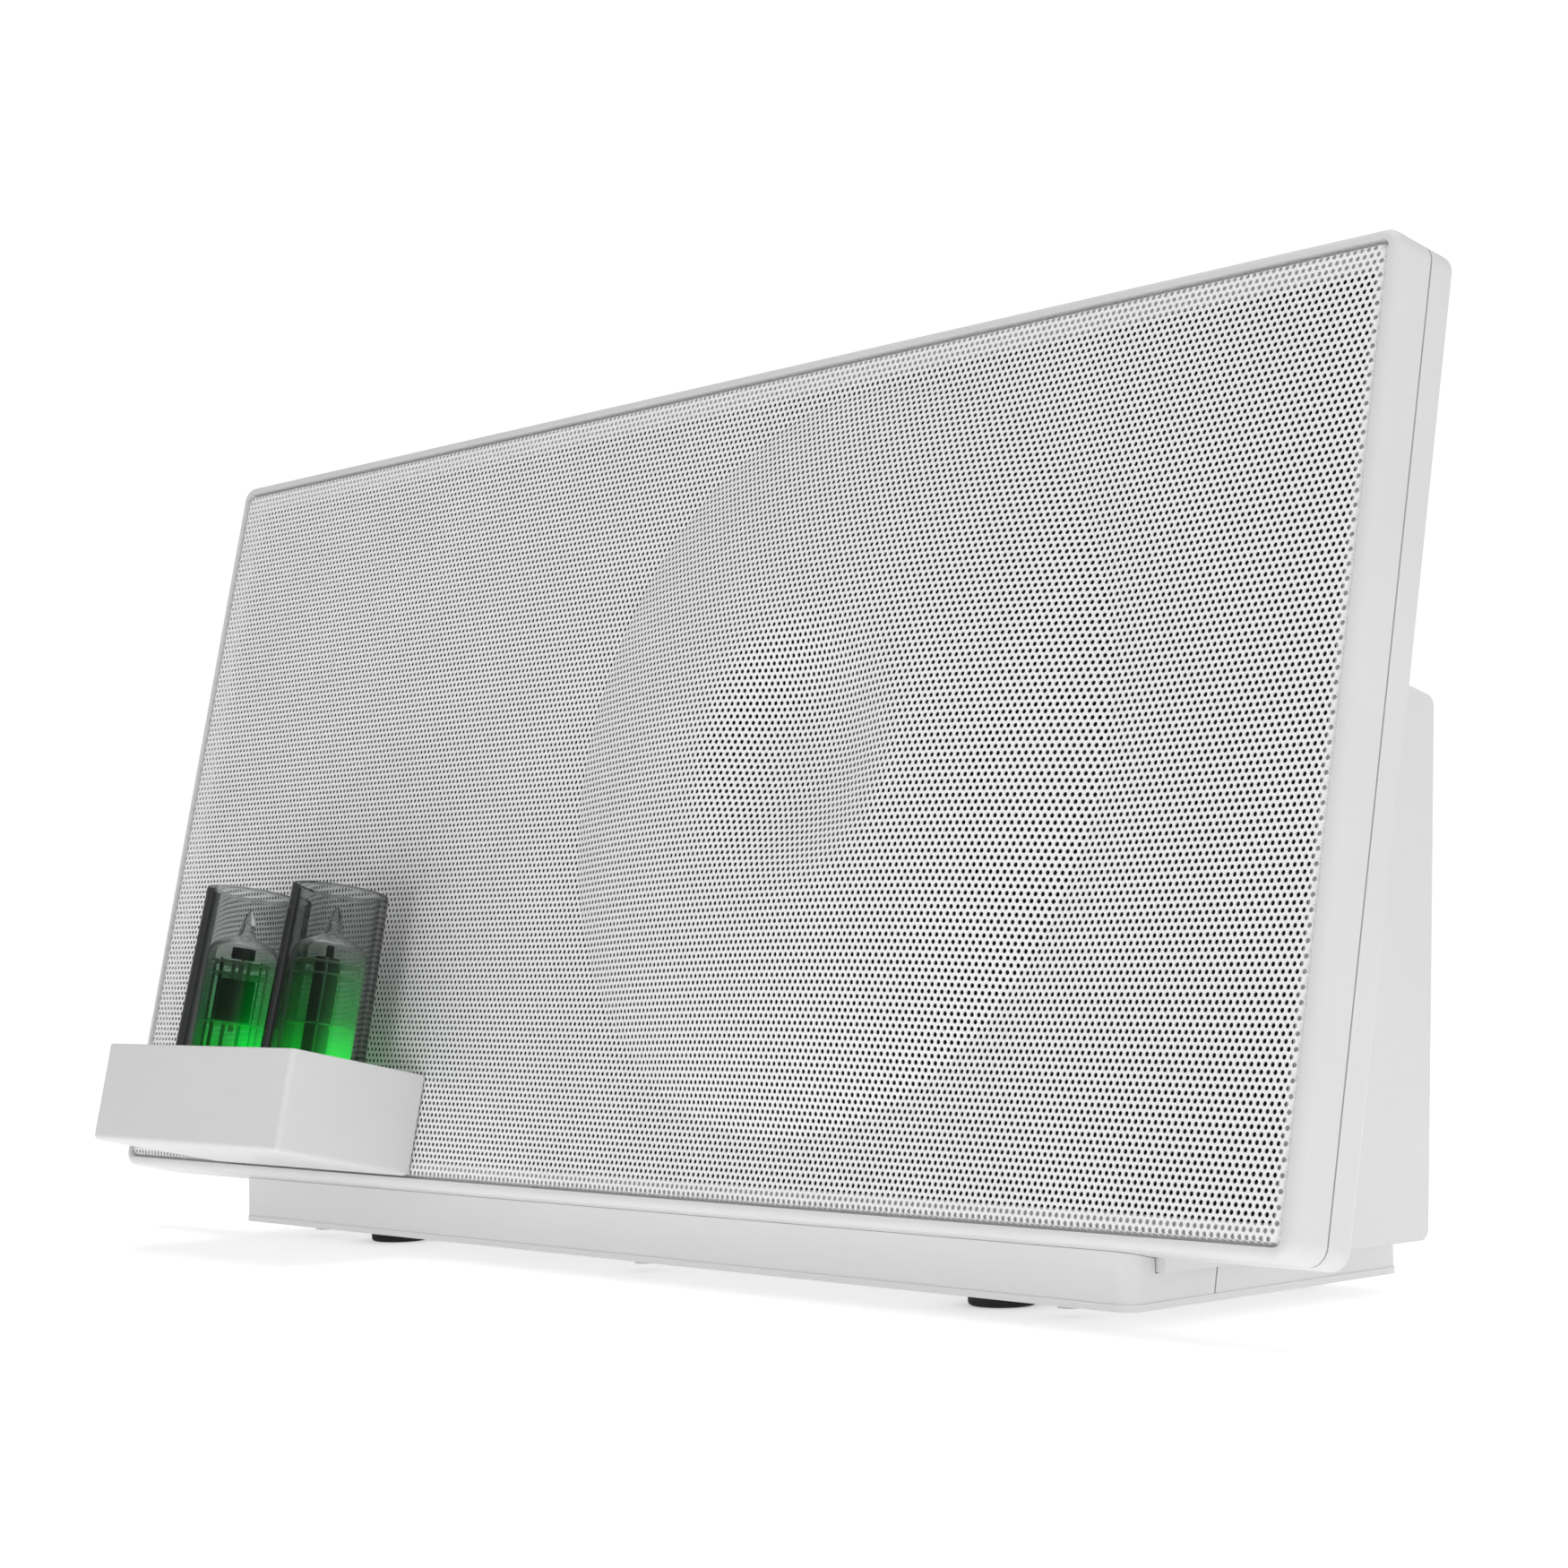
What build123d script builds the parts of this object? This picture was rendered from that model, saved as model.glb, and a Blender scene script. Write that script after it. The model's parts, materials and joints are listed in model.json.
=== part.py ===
"""Tube-hybrid tabletop loudspeaker amplifier: leaning grille panel, cabinet, plinth and tube tray.

Millimetres, +Z up, front towards -Y. The origin is at the bottom centre of the whole object.
Panel parts are drawn in the panel's own frame (X across, Y inward from its front face, Z up the
panel from its bottom edge) and then leaned back with LEAN.
"""
from build123d import *
from math import atan2, cos, degrees, pi, radians, sin
import os

# ---- driving dimensions -------------------------------------------------------------------
PANEL_W = 460.0
PANEL_H = 220.0
LEAN_DEG = 12.0
BEZEL_DEPTH = 11.5          # front half of the panel housing
PANEL_DEPTH = 20.0          # whole panel housing
PANEL_CORNER = 4.5
SHELL = 2.6                 # moulded wall thickness, also the bezel rim seen from the front
SEAM = 0.5                  # shadow gap between mouldings

GRILLE_T = 0.8
GRILLE_FRONT = 0.3          # the sheet lies just behind the bezel's edge
GRILLE_GAP = 0.6
DOME_X = 69.0
DOME_Z = 113.3
DOME_R = 94.5
CREST_R = 37.0
CREST_RISE = 9.9
FLOOR_RISE = 3.2            # height of the dished middle above the flat sheet

BAFFLE_FRONT = 5.6
BAFFLE_T = 9.0

CABINET_HALF = 180.0
CABINET_TOP = 147.0         # height up the panel where the cabinet roof meets it
CABINET_REAR_TOP = (121.0, 121.0)
CABINET_REAR_BOTTOM = (113.0, -7.3)
CABINET_WALL = 3.5

PLINTH_FRONT_HALF = 177.8
PLINTH_REAR_HALF = 172.3
PLINTH_FRONT = 11.0
PLINTH_REAR = 112.0
PLINTH_SPLIT = 40.0
PLINTH_TOP = -7.5           # under the cabinet; in front it follows the panel
PLATE_TOP = -13.7
PLATE_BOTTOM = -15.3
FOOT_H = 3.9
FOOT_R = 8.0
FOOT_SPOTS = [(x, y) for x in (-122.0, 122.0) for y in (29.0, 97.0)]

TRAY_X0 = -174.0
TRAY_X1 = -76.0
TRAY_REACH = 43.3
TRAY_Z0 = 3.0
TRAY_Z1 = 31.0
TRAY_WALL = 2.4
TUBE_SPACING = 45.4
TUBE_Y = -20.2
TUBE_XS = {"left": -147.5, "right": -147.5 + TUBE_SPACING}

CHIMNEY_R0 = 14.7
CHIMNEY_R1 = 13.6
CHIMNEY_WALL = 1.9
CHIMNEY_TOP = 79.4
CHIMNEY_FOOT = 29.9

GLASS_R = 10.45
GLASS_T = 0.8
TUBE_SEAT = 25.5
TUBE_SHOULDER = 62.0
TUBE_TIP = 74.5
PIN_R = 0.51
PIN_HOLE_R = 0.58
PIN_CIRCLE_R = 5.95
PIN_LENGTH = 6.5
PIN_STEP_DEG = 36.0

SCREW_R = 1.5
HOLE_R = 1.55               # screw holes, a close fit on the thread
HEAD_R = 2.9
HEAD_H = 1.8

PANEL_Z = FOOT_H - PLATE_BOTTOM
LEAN = Location((0, 0, PANEL_Z), (-LEAN_DEG, 0, 0))
RAISE = Location((0, 0, PANEL_Z))
REAR_LEAN = degrees(atan2(CABINET_REAR_TOP[0] - CABINET_REAR_BOTTOM[0],
                          CABINET_REAR_TOP[1] - CABINET_REAR_BOTTOM[1]))
REAR = RAISE * Location((0, *CABINET_REAR_BOTTOM), (-REAR_LEAN, 0, 0))


# ---- small helpers ------------------------------------------------------------------------
def block(x0, x1, y0, y1, z0, z1):
    """Box between two corners."""
    center = ((x0 + x1) / 2, (y0 + y1) / 2, (z0 + z1) / 2)
    return Pos(*center) * Box(x1 - x0, y1 - y0, z1 - z0)


def plate(width, height, y0, y1, corner, x=0.0, z=PANEL_H / 2):
    """Upright plate with rounded corners, from depth y0 to y1."""
    facing = Plane(origin=(x, y0, z), x_dir=(1, 0, 0), z_dir=(0, 1, 0))
    face = facing * RectangleRounded(width, height, corner)
    return extrude(face, y1 - y0)


def rod_y(radius, y0, y1, x=0.0, z=0.0):
    """Round bar along Y."""
    return Pos(x, (y0 + y1) / 2, z) * Rot(90, 0, 0) * Cylinder(radius, y1 - y0)


def rod_z(radius, z0, z1, x=0.0, y=0.0):
    """Round bar along Z."""
    return Pos(x, y, (z0 + z1) / 2) * Cylinder(radius, z1 - z0)


def ring_y(outer, inner, y0, y1):
    """Flat ring about the Y axis."""
    return rod_y(outer, y0, y1) - rod_y(inner, y0 - 1, y1 + 1)


def turned_y(points):
    """Solid of revolution about Y from a closed outline of (radius, depth) points."""
    outline = make_face(Polyline(*[(r, y) for r, y in points], close=True))
    return revolve(outline, Axis.Y, 360)


def turned_z(points):
    """Solid of revolution about Z from a closed outline of (radius, height) points."""
    outline = make_face(Plane.XZ * Polyline(*[(r, z) for r, z in points], close=True))
    return revolve(outline, Axis.Z, 360)


def screw_y(x, z, y_seat, length, way=1):
    """Pan-head screw along Y, its head's underside at y_seat and its shank towards way."""
    head = rod_y(HEAD_R, *sorted((y_seat - way * HEAD_H, y_seat)), x, z)
    shank = rod_y(SCREW_R, *sorted((y_seat, y_seat + way * length)), x, z)
    return head + shank


# ---- panel --------------------------------------------------------------------------------
RIM_W = PANEL_W - 2 * SHELL
RIM_H = PANEL_H - 2 * SHELL
LEDGE_FRONT = 3.2
LEDGE_BACK = BAFFLE_FRONT - 0.1
LEDGE = 5.0
PANEL_SCREWS = ([(x, z) for x in (-215.0, 215.0) for z in (7.5, PANEL_H / 2)]
                + [(x, PANEL_H - 7.5) for x in (-215.0, -75.0, 75.0, 215.0)])


def front_bezel():
    """Open frame round the grille, with an inner ledge that the grille's edge rests on."""
    body = plate(PANEL_W, PANEL_H, 0, BEZEL_DEPTH, PANEL_CORNER)
    front_edges = body.faces().sort_by(Axis.Y)[0].edges()
    body = fillet(front_edges, 2.2)
    body -= plate(RIM_W, RIM_H, -1, BEZEL_DEPTH + 1, PANEL_CORNER - SHELL)
    ledge = plate(RIM_W, RIM_H, LEDGE_FRONT, LEDGE_BACK, PANEL_CORNER - SHELL)
    ledge -= plate(RIM_W - 2 * LEDGE, RIM_H - 2 * LEDGE, LEDGE_FRONT - 1, LEDGE_BACK + 1, 1.0)
    return body + ledge


def panel_rear_shell():
    """Rear half of the panel housing, open behind the drivers where the cabinet joins it."""
    front = BEZEL_DEPTH + SEAM
    body = plate(PANEL_W, PANEL_H, front, PANEL_DEPTH, PANEL_CORNER)
    rear_edges = body.faces().sort_by(Axis.Y)[-1].edges()
    body = fillet(rear_edges, 1.5)
    body -= plate(RIM_W, RIM_H, front - 1, PANEL_DEPTH - SHELL, PANEL_CORNER - SHELL)
    body -= plate(2 * CABINET_HALF - 22, CABINET_TOP - 22, 0, PANEL_DEPTH + 1, 4, z=CABINET_TOP / 2)
    for x, z in PANEL_SCREWS:
        body += rod_y(3.5, BAFFLE_FRONT + BAFFLE_T, PANEL_DEPTH - SHELL, x, z)
        body -= rod_y(HOLE_R, 0, PANEL_DEPTH + 1, x, z)
    for x, z in CABINET_SCREWS:
        body -= rod_y(HOLE_R, 0, PANEL_DEPTH + 1, x, z)
    return body


def panel_screws():
    """Screws through the rear shell into the baffle, and from inside it into the cabinet's lip."""
    outside = [screw_y(x, z, PANEL_DEPTH, 9.0, way=-1) for x, z in PANEL_SCREWS]
    inside = [screw_y(x, z, PANEL_DEPTH - SHELL, 5.5) for x, z in CABINET_SCREWS]
    return outside + inside


def dome_rise(r):
    """How far the embossed ring stands out of the grille at radius r."""
    if r >= CREST_R:
        flank = (r - CREST_R) / (DOME_R - CREST_R)
        return CREST_RISE * (1 - flank ** 1.5)
    inside = r / CREST_R
    dish = (inside * inside * (3 - 2 * inside)) ** 1.5
    return FLOOR_RISE + (CREST_RISE - FLOOR_RISE) * dish


def grille_dome():
    """Embossed ring with a dished middle, pressed out of the grille sheet."""
    steps = [DOME_R * i / 30 for i in range(31)]
    edge_slope = 1.5 * CREST_RISE / (DOME_R - CREST_R)
    front = Spline(*[(r, -dome_rise(r)) for r in steps], tangents=[(1, 0), (1, edge_slope)])
    back = front.moved(Location((0, GRILLE_T, 0)))
    axis_side = Line(front @ 0, back @ 0)
    rim_side = Line(front @ 1, back @ 1)
    return revolve(make_face(front + rim_side + back + axis_side), Axis.Y, 360)


def grille():
    """Steel sheet with folded edges, the embossed ring, and a window behind the tube tray."""
    width = RIM_W - 2 * GRILLE_GAP
    height = RIM_H - 2 * GRILLE_GAP
    back = GRILLE_FRONT + GRILLE_T
    sheet = plate(width, height, GRILLE_FRONT, LEDGE_FRONT, 2.0)
    sheet -= plate(width - 2 * GRILLE_T, height - 2 * GRILLE_T, back, LEDGE_FRONT + 1, 1.2)
    sheet -= rod_y(DOME_R, -1, back + 1, DOME_X, DOME_Z)
    sheet += Pos(DOME_X, GRILLE_FRONT, DOME_Z) * grille_dome()
    window = block(TRAY_X0 + 6, TRAY_X1 - 6, -1, back + 1, TRAY_Z0 + 6, TRAY_Z1 - 6)
    return sheet - window


# ---- drivers ------------------------------------------------------------------------------
WOOFER = {"x": 44.0, "z": 78.0, "frame": 60.0, "cone": 43.0, "roll": 10.0, "depth": 34.0,
          "magnet": 38.0, "coil": 13.0, "screws": 6}
FULL_RANGE = {"z": 100.0, "frame": 33.0, "cone": 20.0, "roll": 5.5, "depth": 17.0,
              "magnet": 20.0, "coil": 7.0, "screws": 4}
FULL_RANGE_XS = {"left": -140.0, "right": 140.0}
FLANGE_T = 3.0
EDGE_GAP = 0.3


def bolt_spots(driver):
    """Screw places on a driver's flange, about its own centre."""
    radius = driver["frame"] - 3.4
    turn = 2 * pi / driver["screws"]
    return [(radius * cos(turn * (i + 0.5)), radius * sin(turn * (i + 0.5))) for i in range(driver["screws"])]


def basket(driver):
    """Cast basket: flange, spoked cone and the ring that carries the magnet."""
    mouth = driver["cone"] + driver["roll"]
    foot = driver["magnet"]
    depth = driver["depth"]
    body = ring_y(driver["frame"], mouth, 0, FLANGE_T)
    body += turned_y([(mouth, 0), (mouth + 2, 0), (mouth + 2, FLANGE_T), (foot, depth),
                      (foot - 2, depth), (mouth, FLANGE_T)])
    body += ring_y(foot, driver["coil"] + 2, depth, depth + 2.5)
    window_top = FLANGE_T + 3
    window_w = 0.62 * foot
    for i in range(driver["screws"]):
        angle = 360 / driver["screws"] * i
        window = Box(2 * mouth - foot, depth - 1 - window_top, window_w)
        body -= Rot(0, angle, 0) * Pos(mouth, (window_top + depth - 1) / 2, 0) * window
    for x, z in bolt_spots(driver):
        body -= rod_y(HOLE_R, -1, FLANGE_T + 1, x, z)
    return body


def magnet_system(driver):
    """Front plate, magnet ring, and back plate with its pole piece."""
    start = driver["depth"] + 2.5
    radius = driver["magnet"]
    coil = driver["coil"]
    front_plate = ring_y(radius - 1, coil + 0.8, start, start + 4)
    magnet = ring_y(radius, coil + 5, start + 4, start + 14)
    back_plate = rod_y(radius - 1, start + 14, start + 18) + rod_y(coil - 0.8, start, start + 14)
    return [front_plate, magnet, back_plate]


def cone(driver, capped):
    """Paper cone with its voice-coil former; a small driver's dust cap is in one with it."""
    rim = driver["cone"]
    coil = driver["coil"]
    neck = driver["depth"] - 6
    former_end = driver["depth"] + 2.5 + 8
    body = turned_y([(rim, 2.0), (rim, 3.0), (coil + 0.3, neck + 1), (coil + 0.3, former_end),
                     (coil - 0.3, former_end), (coil - 0.3, neck)])
    if capped:
        body += rod_y(coil - 0.3, neck, neck + 1)
    return body


def dust_cap(driver):
    """Shallow domed cap glued over the voice coil."""
    radius = driver["coil"] - 0.4
    neck = driver["depth"] - 6
    return turned_y([(0, neck - 4), (radius * 0.6, neck - 2.6), (radius, neck), (radius, neck + 0.8),
                     (radius * 0.6, neck - 1.8), (0, neck - 3.2)])


def surround(driver):
    """Half-roll rubber edge between the cone and the basket's flange."""
    inner = driver["cone"] + EDGE_GAP
    outer = driver["cone"] + driver["roll"]
    crown = 1.6
    middle = (inner + outer) / 2
    return turned_y([(inner, 2.2), (middle, 2.2 - crown), (outer, 2.2), (outer, 3.0),
                     (middle, 3.0 - crown), (inner, 3.0)])


def spider(driver):
    """Corrugated cloth disc that centres the voice coil."""
    inner = driver["coil"] + 0.3 + EDGE_GAP
    outer = driver["magnet"] - 1.6
    level = driver["depth"] - 1.6
    waves = 6
    step = (outer - inner) / (2 * waves)
    front = [(inner + i * step, level + (0.8 if i % 2 else 0)) for i in range(2 * waves + 1)]
    back = [(r, y + 0.6) for r, y in reversed(front)]
    return turned_y(front + back)


def driver_nodes(name, driver, x, full):
    """All pieces of one loudspeaker driver, set into the baffle's recess."""
    place = LEAN * Pos(x, BAFFLE_FRONT, driver["z"])
    nodes = {
        f"{name}_basket": [basket(driver)],
        f"{name}_magnet": magnet_system(driver),
        f"{name}_cone": [cone(driver, capped=not full)],
        f"{name}_surround": [surround(driver)],
    }
    if full:
        nodes[f"{name}_dust_cap"] = [dust_cap(driver)]
        nodes[f"{name}_spider"] = [spider(driver)]
    return {node: [place * solid for solid in solids] for node, solids in nodes.items()}


def all_drivers():
    """Every driver as (dimensions, x)."""
    return [(WOOFER, WOOFER["x"])] + [(FULL_RANGE, x) for x in FULL_RANGE_XS.values()]


def driver_screws():
    """Screws that hold the driver flanges to the baffle."""
    solids = []
    for driver, x in all_drivers():
        solids += [screw_y(x + dx, driver["z"] + dz, BAFFLE_FRONT, 8.0) for dx, dz in bolt_spots(driver)]
    return solids


def baffle():
    """Board behind the grille, with a recessed hole for each driver."""
    body = plate(RIM_W - 1.2, RIM_H - 1.2, BAFFLE_FRONT, BAFFLE_FRONT + BAFFLE_T, 2.0)
    for driver, x in all_drivers():
        body -= rod_y(driver["frame"] + 0.2, 0, BAFFLE_FRONT + FLANGE_T, x, driver["z"])
        body -= rod_y(driver["cone"] + driver["roll"] + 2.3, 0, BAFFLE_FRONT + BAFFLE_T + 1, x, driver["z"])
        for dx, dz in bolt_spots(driver):
            body -= rod_y(HOLE_R, 0, BAFFLE_FRONT + BAFFLE_T + 1, x + dx, driver["z"] + dz)
    for x, z in PANEL_SCREWS:
        body -= rod_y(HOLE_R, PANEL_DEPTH - 9.5, PANEL_DEPTH, x, z)
    body -= rod_y(4.0, 0, PANEL_DEPTH, *TRAY_CABLE)
    for x, z in TRAY_SCREWS:
        body -= rod_y(HOLE_R, 0, PANEL_DEPTH, x, z)
    return body


# ---- cabinet ------------------------------------------------------------------------------
CABINET_SCREWS = [(x, z) for x in (-175.0, 175.0) for z in (20.0, 75.0, 130.0)]
PORT_X = -60.0
PORT_Z = 62.0
PORT_R = 17.0
PORT_T = 2.0
PORT_LENGTH = 48.0
PORT_FLARE = 24.0
PLATE_X = 92.0
PLATE_Z = 47.0
PLATE_W = 156.0
PLATE_H = 62.0
PLATE_T = 2.5


def panel_point(depth, height):
    """(y, z) of a point at that depth behind the panel's face and that height up it."""
    lean = radians(LEAN_DEG)
    return (height * sin(lean) + depth * cos(lean), height * cos(lean) - depth * sin(lean))


def side_prism(points, half_width):
    """Solid with the (y, z) side outline, from -half_width to half_width."""
    outline = make_face(Plane.YZ * Polyline(*points, close=True))
    return extrude(outline, half_width, both=True)


def rear_cabinet():
    """Moulded box behind the panel with a sloping roof; its mouth is framed by a screw lip."""
    low = panel_point(PANEL_DEPTH, 2.0)
    high = panel_point(PANEL_DEPTH, CABINET_TOP)
    bottom = CABINET_REAR_BOTTOM[1]
    body = side_prism([low, high, CABINET_REAR_TOP, CABINET_REAR_BOTTOM, (low[0], bottom)], CABINET_HALF)
    body = fillet(body.edges().filter_by(Axis.X).sort_by(Axis.Y)[-2:], 3.0)
    wall = CABINET_WALL
    deep_low = panel_point(PANEL_DEPTH + wall, 2.0 + wall)
    deep_high = panel_point(PANEL_DEPTH + wall, CABINET_TOP - wall)
    top_y, top_z = CABINET_REAR_TOP
    bottom_y = CABINET_REAR_BOTTOM[0]
    inside = [(deep_low[0], bottom + wall), deep_low, deep_high,
              (top_y - wall, top_z - 1.3 * wall), (bottom_y - wall, bottom + wall)]
    cavity = side_prism(inside, CABINET_HALF - wall)
    body = RAISE * (body - cavity)
    mouth = plate(2 * CABINET_HALF - 22, CABINET_TOP - 22, 0, PANEL_DEPTH + 2 * wall, 4, z=CABINET_TOP / 2)
    body -= LEAN * mouth
    for x, z in CABINET_SCREWS:
        body -= LEAN * rod_y(HOLE_R, 0, PANEL_DEPTH + wall, x, z)
    body -= REAR * rod_y(PORT_R + PORT_T + 0.2, -2 * wall, wall, PORT_X, PORT_Z)
    body -= REAR * block(PLATE_X - PLATE_W / 2 + 6, PLATE_X + PLATE_W / 2 - 6, -2 * wall, wall,
                         PLATE_Z - PLATE_H / 2 + 6, PLATE_Z + PLATE_H / 2 - 6)
    for x, z in PLATE_SCREWS:
        body -= REAR * rod_y(HOLE_R, -2 * wall, wall, x, z)
    return body


def bass_port():
    """Flared port tube through the cabinet's rear wall."""
    inner = PORT_R
    outer = PORT_R + PORT_T
    tube = turned_y([(inner, -PORT_LENGTH), (outer, -PORT_LENGTH), (outer, 0), (PORT_FLARE, 0),
                     (PORT_FLARE, 1.6), (PORT_FLARE - 1.5, 2.2), (inner + 3.2, 1.4), (inner + 0.8, -1.5), (inner, -5.0)])
    return Pos(PORT_X, 0.05, PORT_Z) * tube


# ---- rear connector plate (drawn in the rear face's own frame) -----------------------------
PLATE_SCREWS = [(PLATE_X + sx * (PLATE_W / 2 - 3.2), PLATE_Z + sz * (PLATE_H / 2 - 3.2))
                for sx in (-1, 0, 1) for sz in (-1, 1)]
INLET_X = PLATE_X + 52.0
INLET_Z = PLATE_Z - 2.0
INLET_W = 27.0
INLET_H = 20.0
ROCKER_X = PLATE_X + 22.0
ROCKER_Z = PLATE_Z - 2.0
ROCKER_W = 13.0
ROCKER_H = 19.0
KNOB_X = PLATE_X - 12.0
KNOB_Z = PLATE_Z
KNOB_R = 9.0
BUTTON_X = PLATE_X - 36.0
BUTTON_Z = PLATE_Z + 12.0
BUTTON_R = 4.0
JACK_SPOTS = [(PLATE_X - 62.0, PLATE_Z + 10.0), (PLATE_X - 62.0, PLATE_Z - 12.0), (PLATE_X - 46.0, PLATE_Z - 12.0)]
JACK_R = 4.2
BUSH_R = 3.5
SHAFT_R = 2.95
SURFACE = 0.05 + PLATE_T    # outer face of the connector plate above the cabinet's wall


def connector_plate():
    """Steel plate over the opening in the rear wall, cut for every socket and control."""
    body = plate(PLATE_W, PLATE_H, 0.05, SURFACE, 4.0, PLATE_X, PLATE_Z)
    body -= block(INLET_X - INLET_W / 2, INLET_X + INLET_W / 2, -1, 4, INLET_Z - INLET_H / 2, INLET_Z + INLET_H / 2)
    body -= block(ROCKER_X - 7.6, ROCKER_X + 7.6, -1, 4, ROCKER_Z - 10.6, ROCKER_Z + 10.6)
    body -= rod_y(BUSH_R, -1, 4, KNOB_X, KNOB_Z)
    body -= rod_y(BUTTON_R + 1.0, -1, 4, BUTTON_X, BUTTON_Z)
    for x, z in JACK_SPOTS:
        body -= rod_y(JACK_R, -1, 4, x, z)
    for x, z in PLATE_SCREWS:
        body -= rod_y(HOLE_R, -1, 4, x, z)
    return body


def connector_screws():
    """Six screws round the connector plate."""
    return [screw_y(x, z, SURFACE, 5.0, way=-1) for x, z in PLATE_SCREWS]


def mains_inlet():
    """Three-pole appliance inlet with its recess and blades."""
    body = block(-INLET_W / 2, INLET_W / 2, -16, SURFACE, -INLET_H / 2, INLET_H / 2)
    body += block(-INLET_W / 2 - 2, INLET_W / 2 + 2, SURFACE, SURFACE + 1.5, -INLET_H / 2 - 2, INLET_H / 2 + 2)
    body -= block(-12, 12, -14, SURFACE + 3, -8, 8)
    for x, z in ((-7.0, -2.0), (7.0, -2.0), (0.0, 2.0)):
        body += block(x - 1, x + 1, -14.5, -1, z - 2, z + 2)
    return Pos(INLET_X, 0, INLET_Z) * body


def switch_frame():
    """Snap-in frame and body of the power switch, with bearings for the rocker's stub axles."""
    body = block(-7.5, 7.5, -14, SURFACE, -10.5, 10.5)
    body += block(-9, 9, SURFACE, SURFACE + 1.5, -12, 12)
    body -= block(-ROCKER_W / 2 - 0.2, ROCKER_W / 2 + 0.2, -10, SURFACE + 3, -ROCKER_H / 2 - 0.2, ROCKER_H / 2 + 0.2)
    body -= Pos(0, -2, 0) * Rot(0, 90, 0) * Cylinder(1.05, 14.6)
    return Pos(ROCKER_X, 0, ROCKER_Z) * body


ROCKER_TILT = 9.0           # half of the rocker's swing


def switch_rocker():
    """Rocker key, at rest tilted to its off side, on two stub axles."""
    pivot_y = -2.0
    reach = SURFACE + 3.2 - pivot_y
    half = ROCKER_H / 2 - 1.2
    outline = [(-1.5, -half), (reach - 0.8, -half), (reach - 2.4, 0), (reach - 0.8, half), (-1.5, half), (-3.5, 0)]
    key = side_prism(outline, ROCKER_W / 2)
    key += Rot(0, 90, 0) * Cylinder(1.0, 14.2)
    return Pos(ROCKER_X, pivot_y, ROCKER_Z) * Rot(ROCKER_TILT, 0, 0) * key


def audio_jacks():
    """Two phono sockets and a smaller line socket, each a collar with a bore."""
    solids = []
    for x, z in JACK_SPOTS:
        solids.append(rod_y(JACK_R, -12, SURFACE + 6, x, z) - rod_y(1.8, -8, SURFACE + 7, x, z))
    return solids


def control_board():
    """Board behind the plate with the potentiometer, bored for the knob's shaft, and a tactile switch."""
    board = block(BUTTON_X - 8, KNOB_X + 10, -13.6, -12, KNOB_Z - 10, BUTTON_Z + 8)
    can = rod_y(8.0, -12, -4, KNOB_X, KNOB_Z)
    bush = rod_y(BUSH_R, -4, SURFACE + 2.5, KNOB_X, KNOB_Z)
    tact = block(BUTTON_X - 6, BUTTON_X + 6, -12, -5.5, BUTTON_Z - 6, BUTTON_Z + 6)
    return board + can + bush + tact - rod_y(3.0, -9, SURFACE + 3, KNOB_X, KNOB_Z)


def volume_knob():
    """Fluted knob and its shaft, with a pointer groove."""
    front = SURFACE + 3.0
    body = rod_y(KNOB_R, front, front + 11, KNOB_X, KNOB_Z)
    body = fillet(body.edges().sort_by(Axis.Y)[-1], 1.0)
    for i in range(24):
        angle = 2 * pi * i / 24
        body -= rod_y(0.6, front + 1.5, front + 12, KNOB_X + KNOB_R * cos(angle), KNOB_Z + KNOB_R * sin(angle))
    body -= block(KNOB_X - 0.5, KNOB_X + 0.5, front + 10.4, front + 12, KNOB_Z + 3, KNOB_Z + KNOB_R)
    return body + rod_y(SHAFT_R, -8, front, KNOB_X, KNOB_Z)


def source_button():
    """Sprung push button with a retaining flange behind the plate."""
    cap = rod_y(BUTTON_R, -3.6, SURFACE + 2.6, BUTTON_X, BUTTON_Z)
    cap = fillet(cap.edges().sort_by(Axis.Y)[-1], 0.6)
    return cap + rod_y(BUTTON_R + 1.6, -3.6, -1.2, BUTTON_X, BUTTON_Z)


# ---- electronics inside the cabinet --------------------------------------------------------
BOARD_X0 = -80.0
BOARD_X1 = 165.0
BOARD_Y0 = 34.0
BOARD_Y1 = 92.0
BOARD_Z = 4.0
BOARD_T = 1.6
CAN_SPOTS = [(130.0 + 14.0 * i, 44.0) for i in range(3)]
FLOOR_Z = CABINET_REAR_BOTTOM[1] + CABINET_WALL


def amplifier_board():
    """Circuit board with its driver chips and connectors, on four stand-offs."""
    body = block(BOARD_X0, BOARD_X1, BOARD_Y0, BOARD_Y1, BOARD_Z, BOARD_Z + BOARD_T)
    top = BOARD_Z + BOARD_T
    for x in (BOARD_X0 + 5, BOARD_X1 - 5):
        for y in (BOARD_Y0 + 5, BOARD_Y1 - 5):
            body += rod_z(3.0, FLOOR_Z, BOARD_Z, x, y)
    for i in range(4):
        body += block(-60 + 22 * i, -46 + 22 * i, 44, 54, top, top + 2.0)
    for x in (-70.0, 40.0, 60.0):
        body += block(x, x + 12, 82, 89, top, top + 7)
    return body


def filter_capacitors():
    """Three electrolytic cans on the board."""
    top = BOARD_Z + BOARD_T
    return [fillet(rod_z(6.0, top, top + 14, x, y).edges().sort_by(Axis.Z)[-1], 0.6) for x, y in CAN_SPOTS]


def heat_sink():
    """Finned aluminium bar that cools the output stage."""
    top = BOARD_Z + BOARD_T
    body = block(-40, 40, 62, 66, top, top + 12)
    for i in range(14):
        x = -39 + 6 * i
        body += block(x - 0.8, x + 0.8, 66, 74, top, top + 12)
    return body


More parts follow.
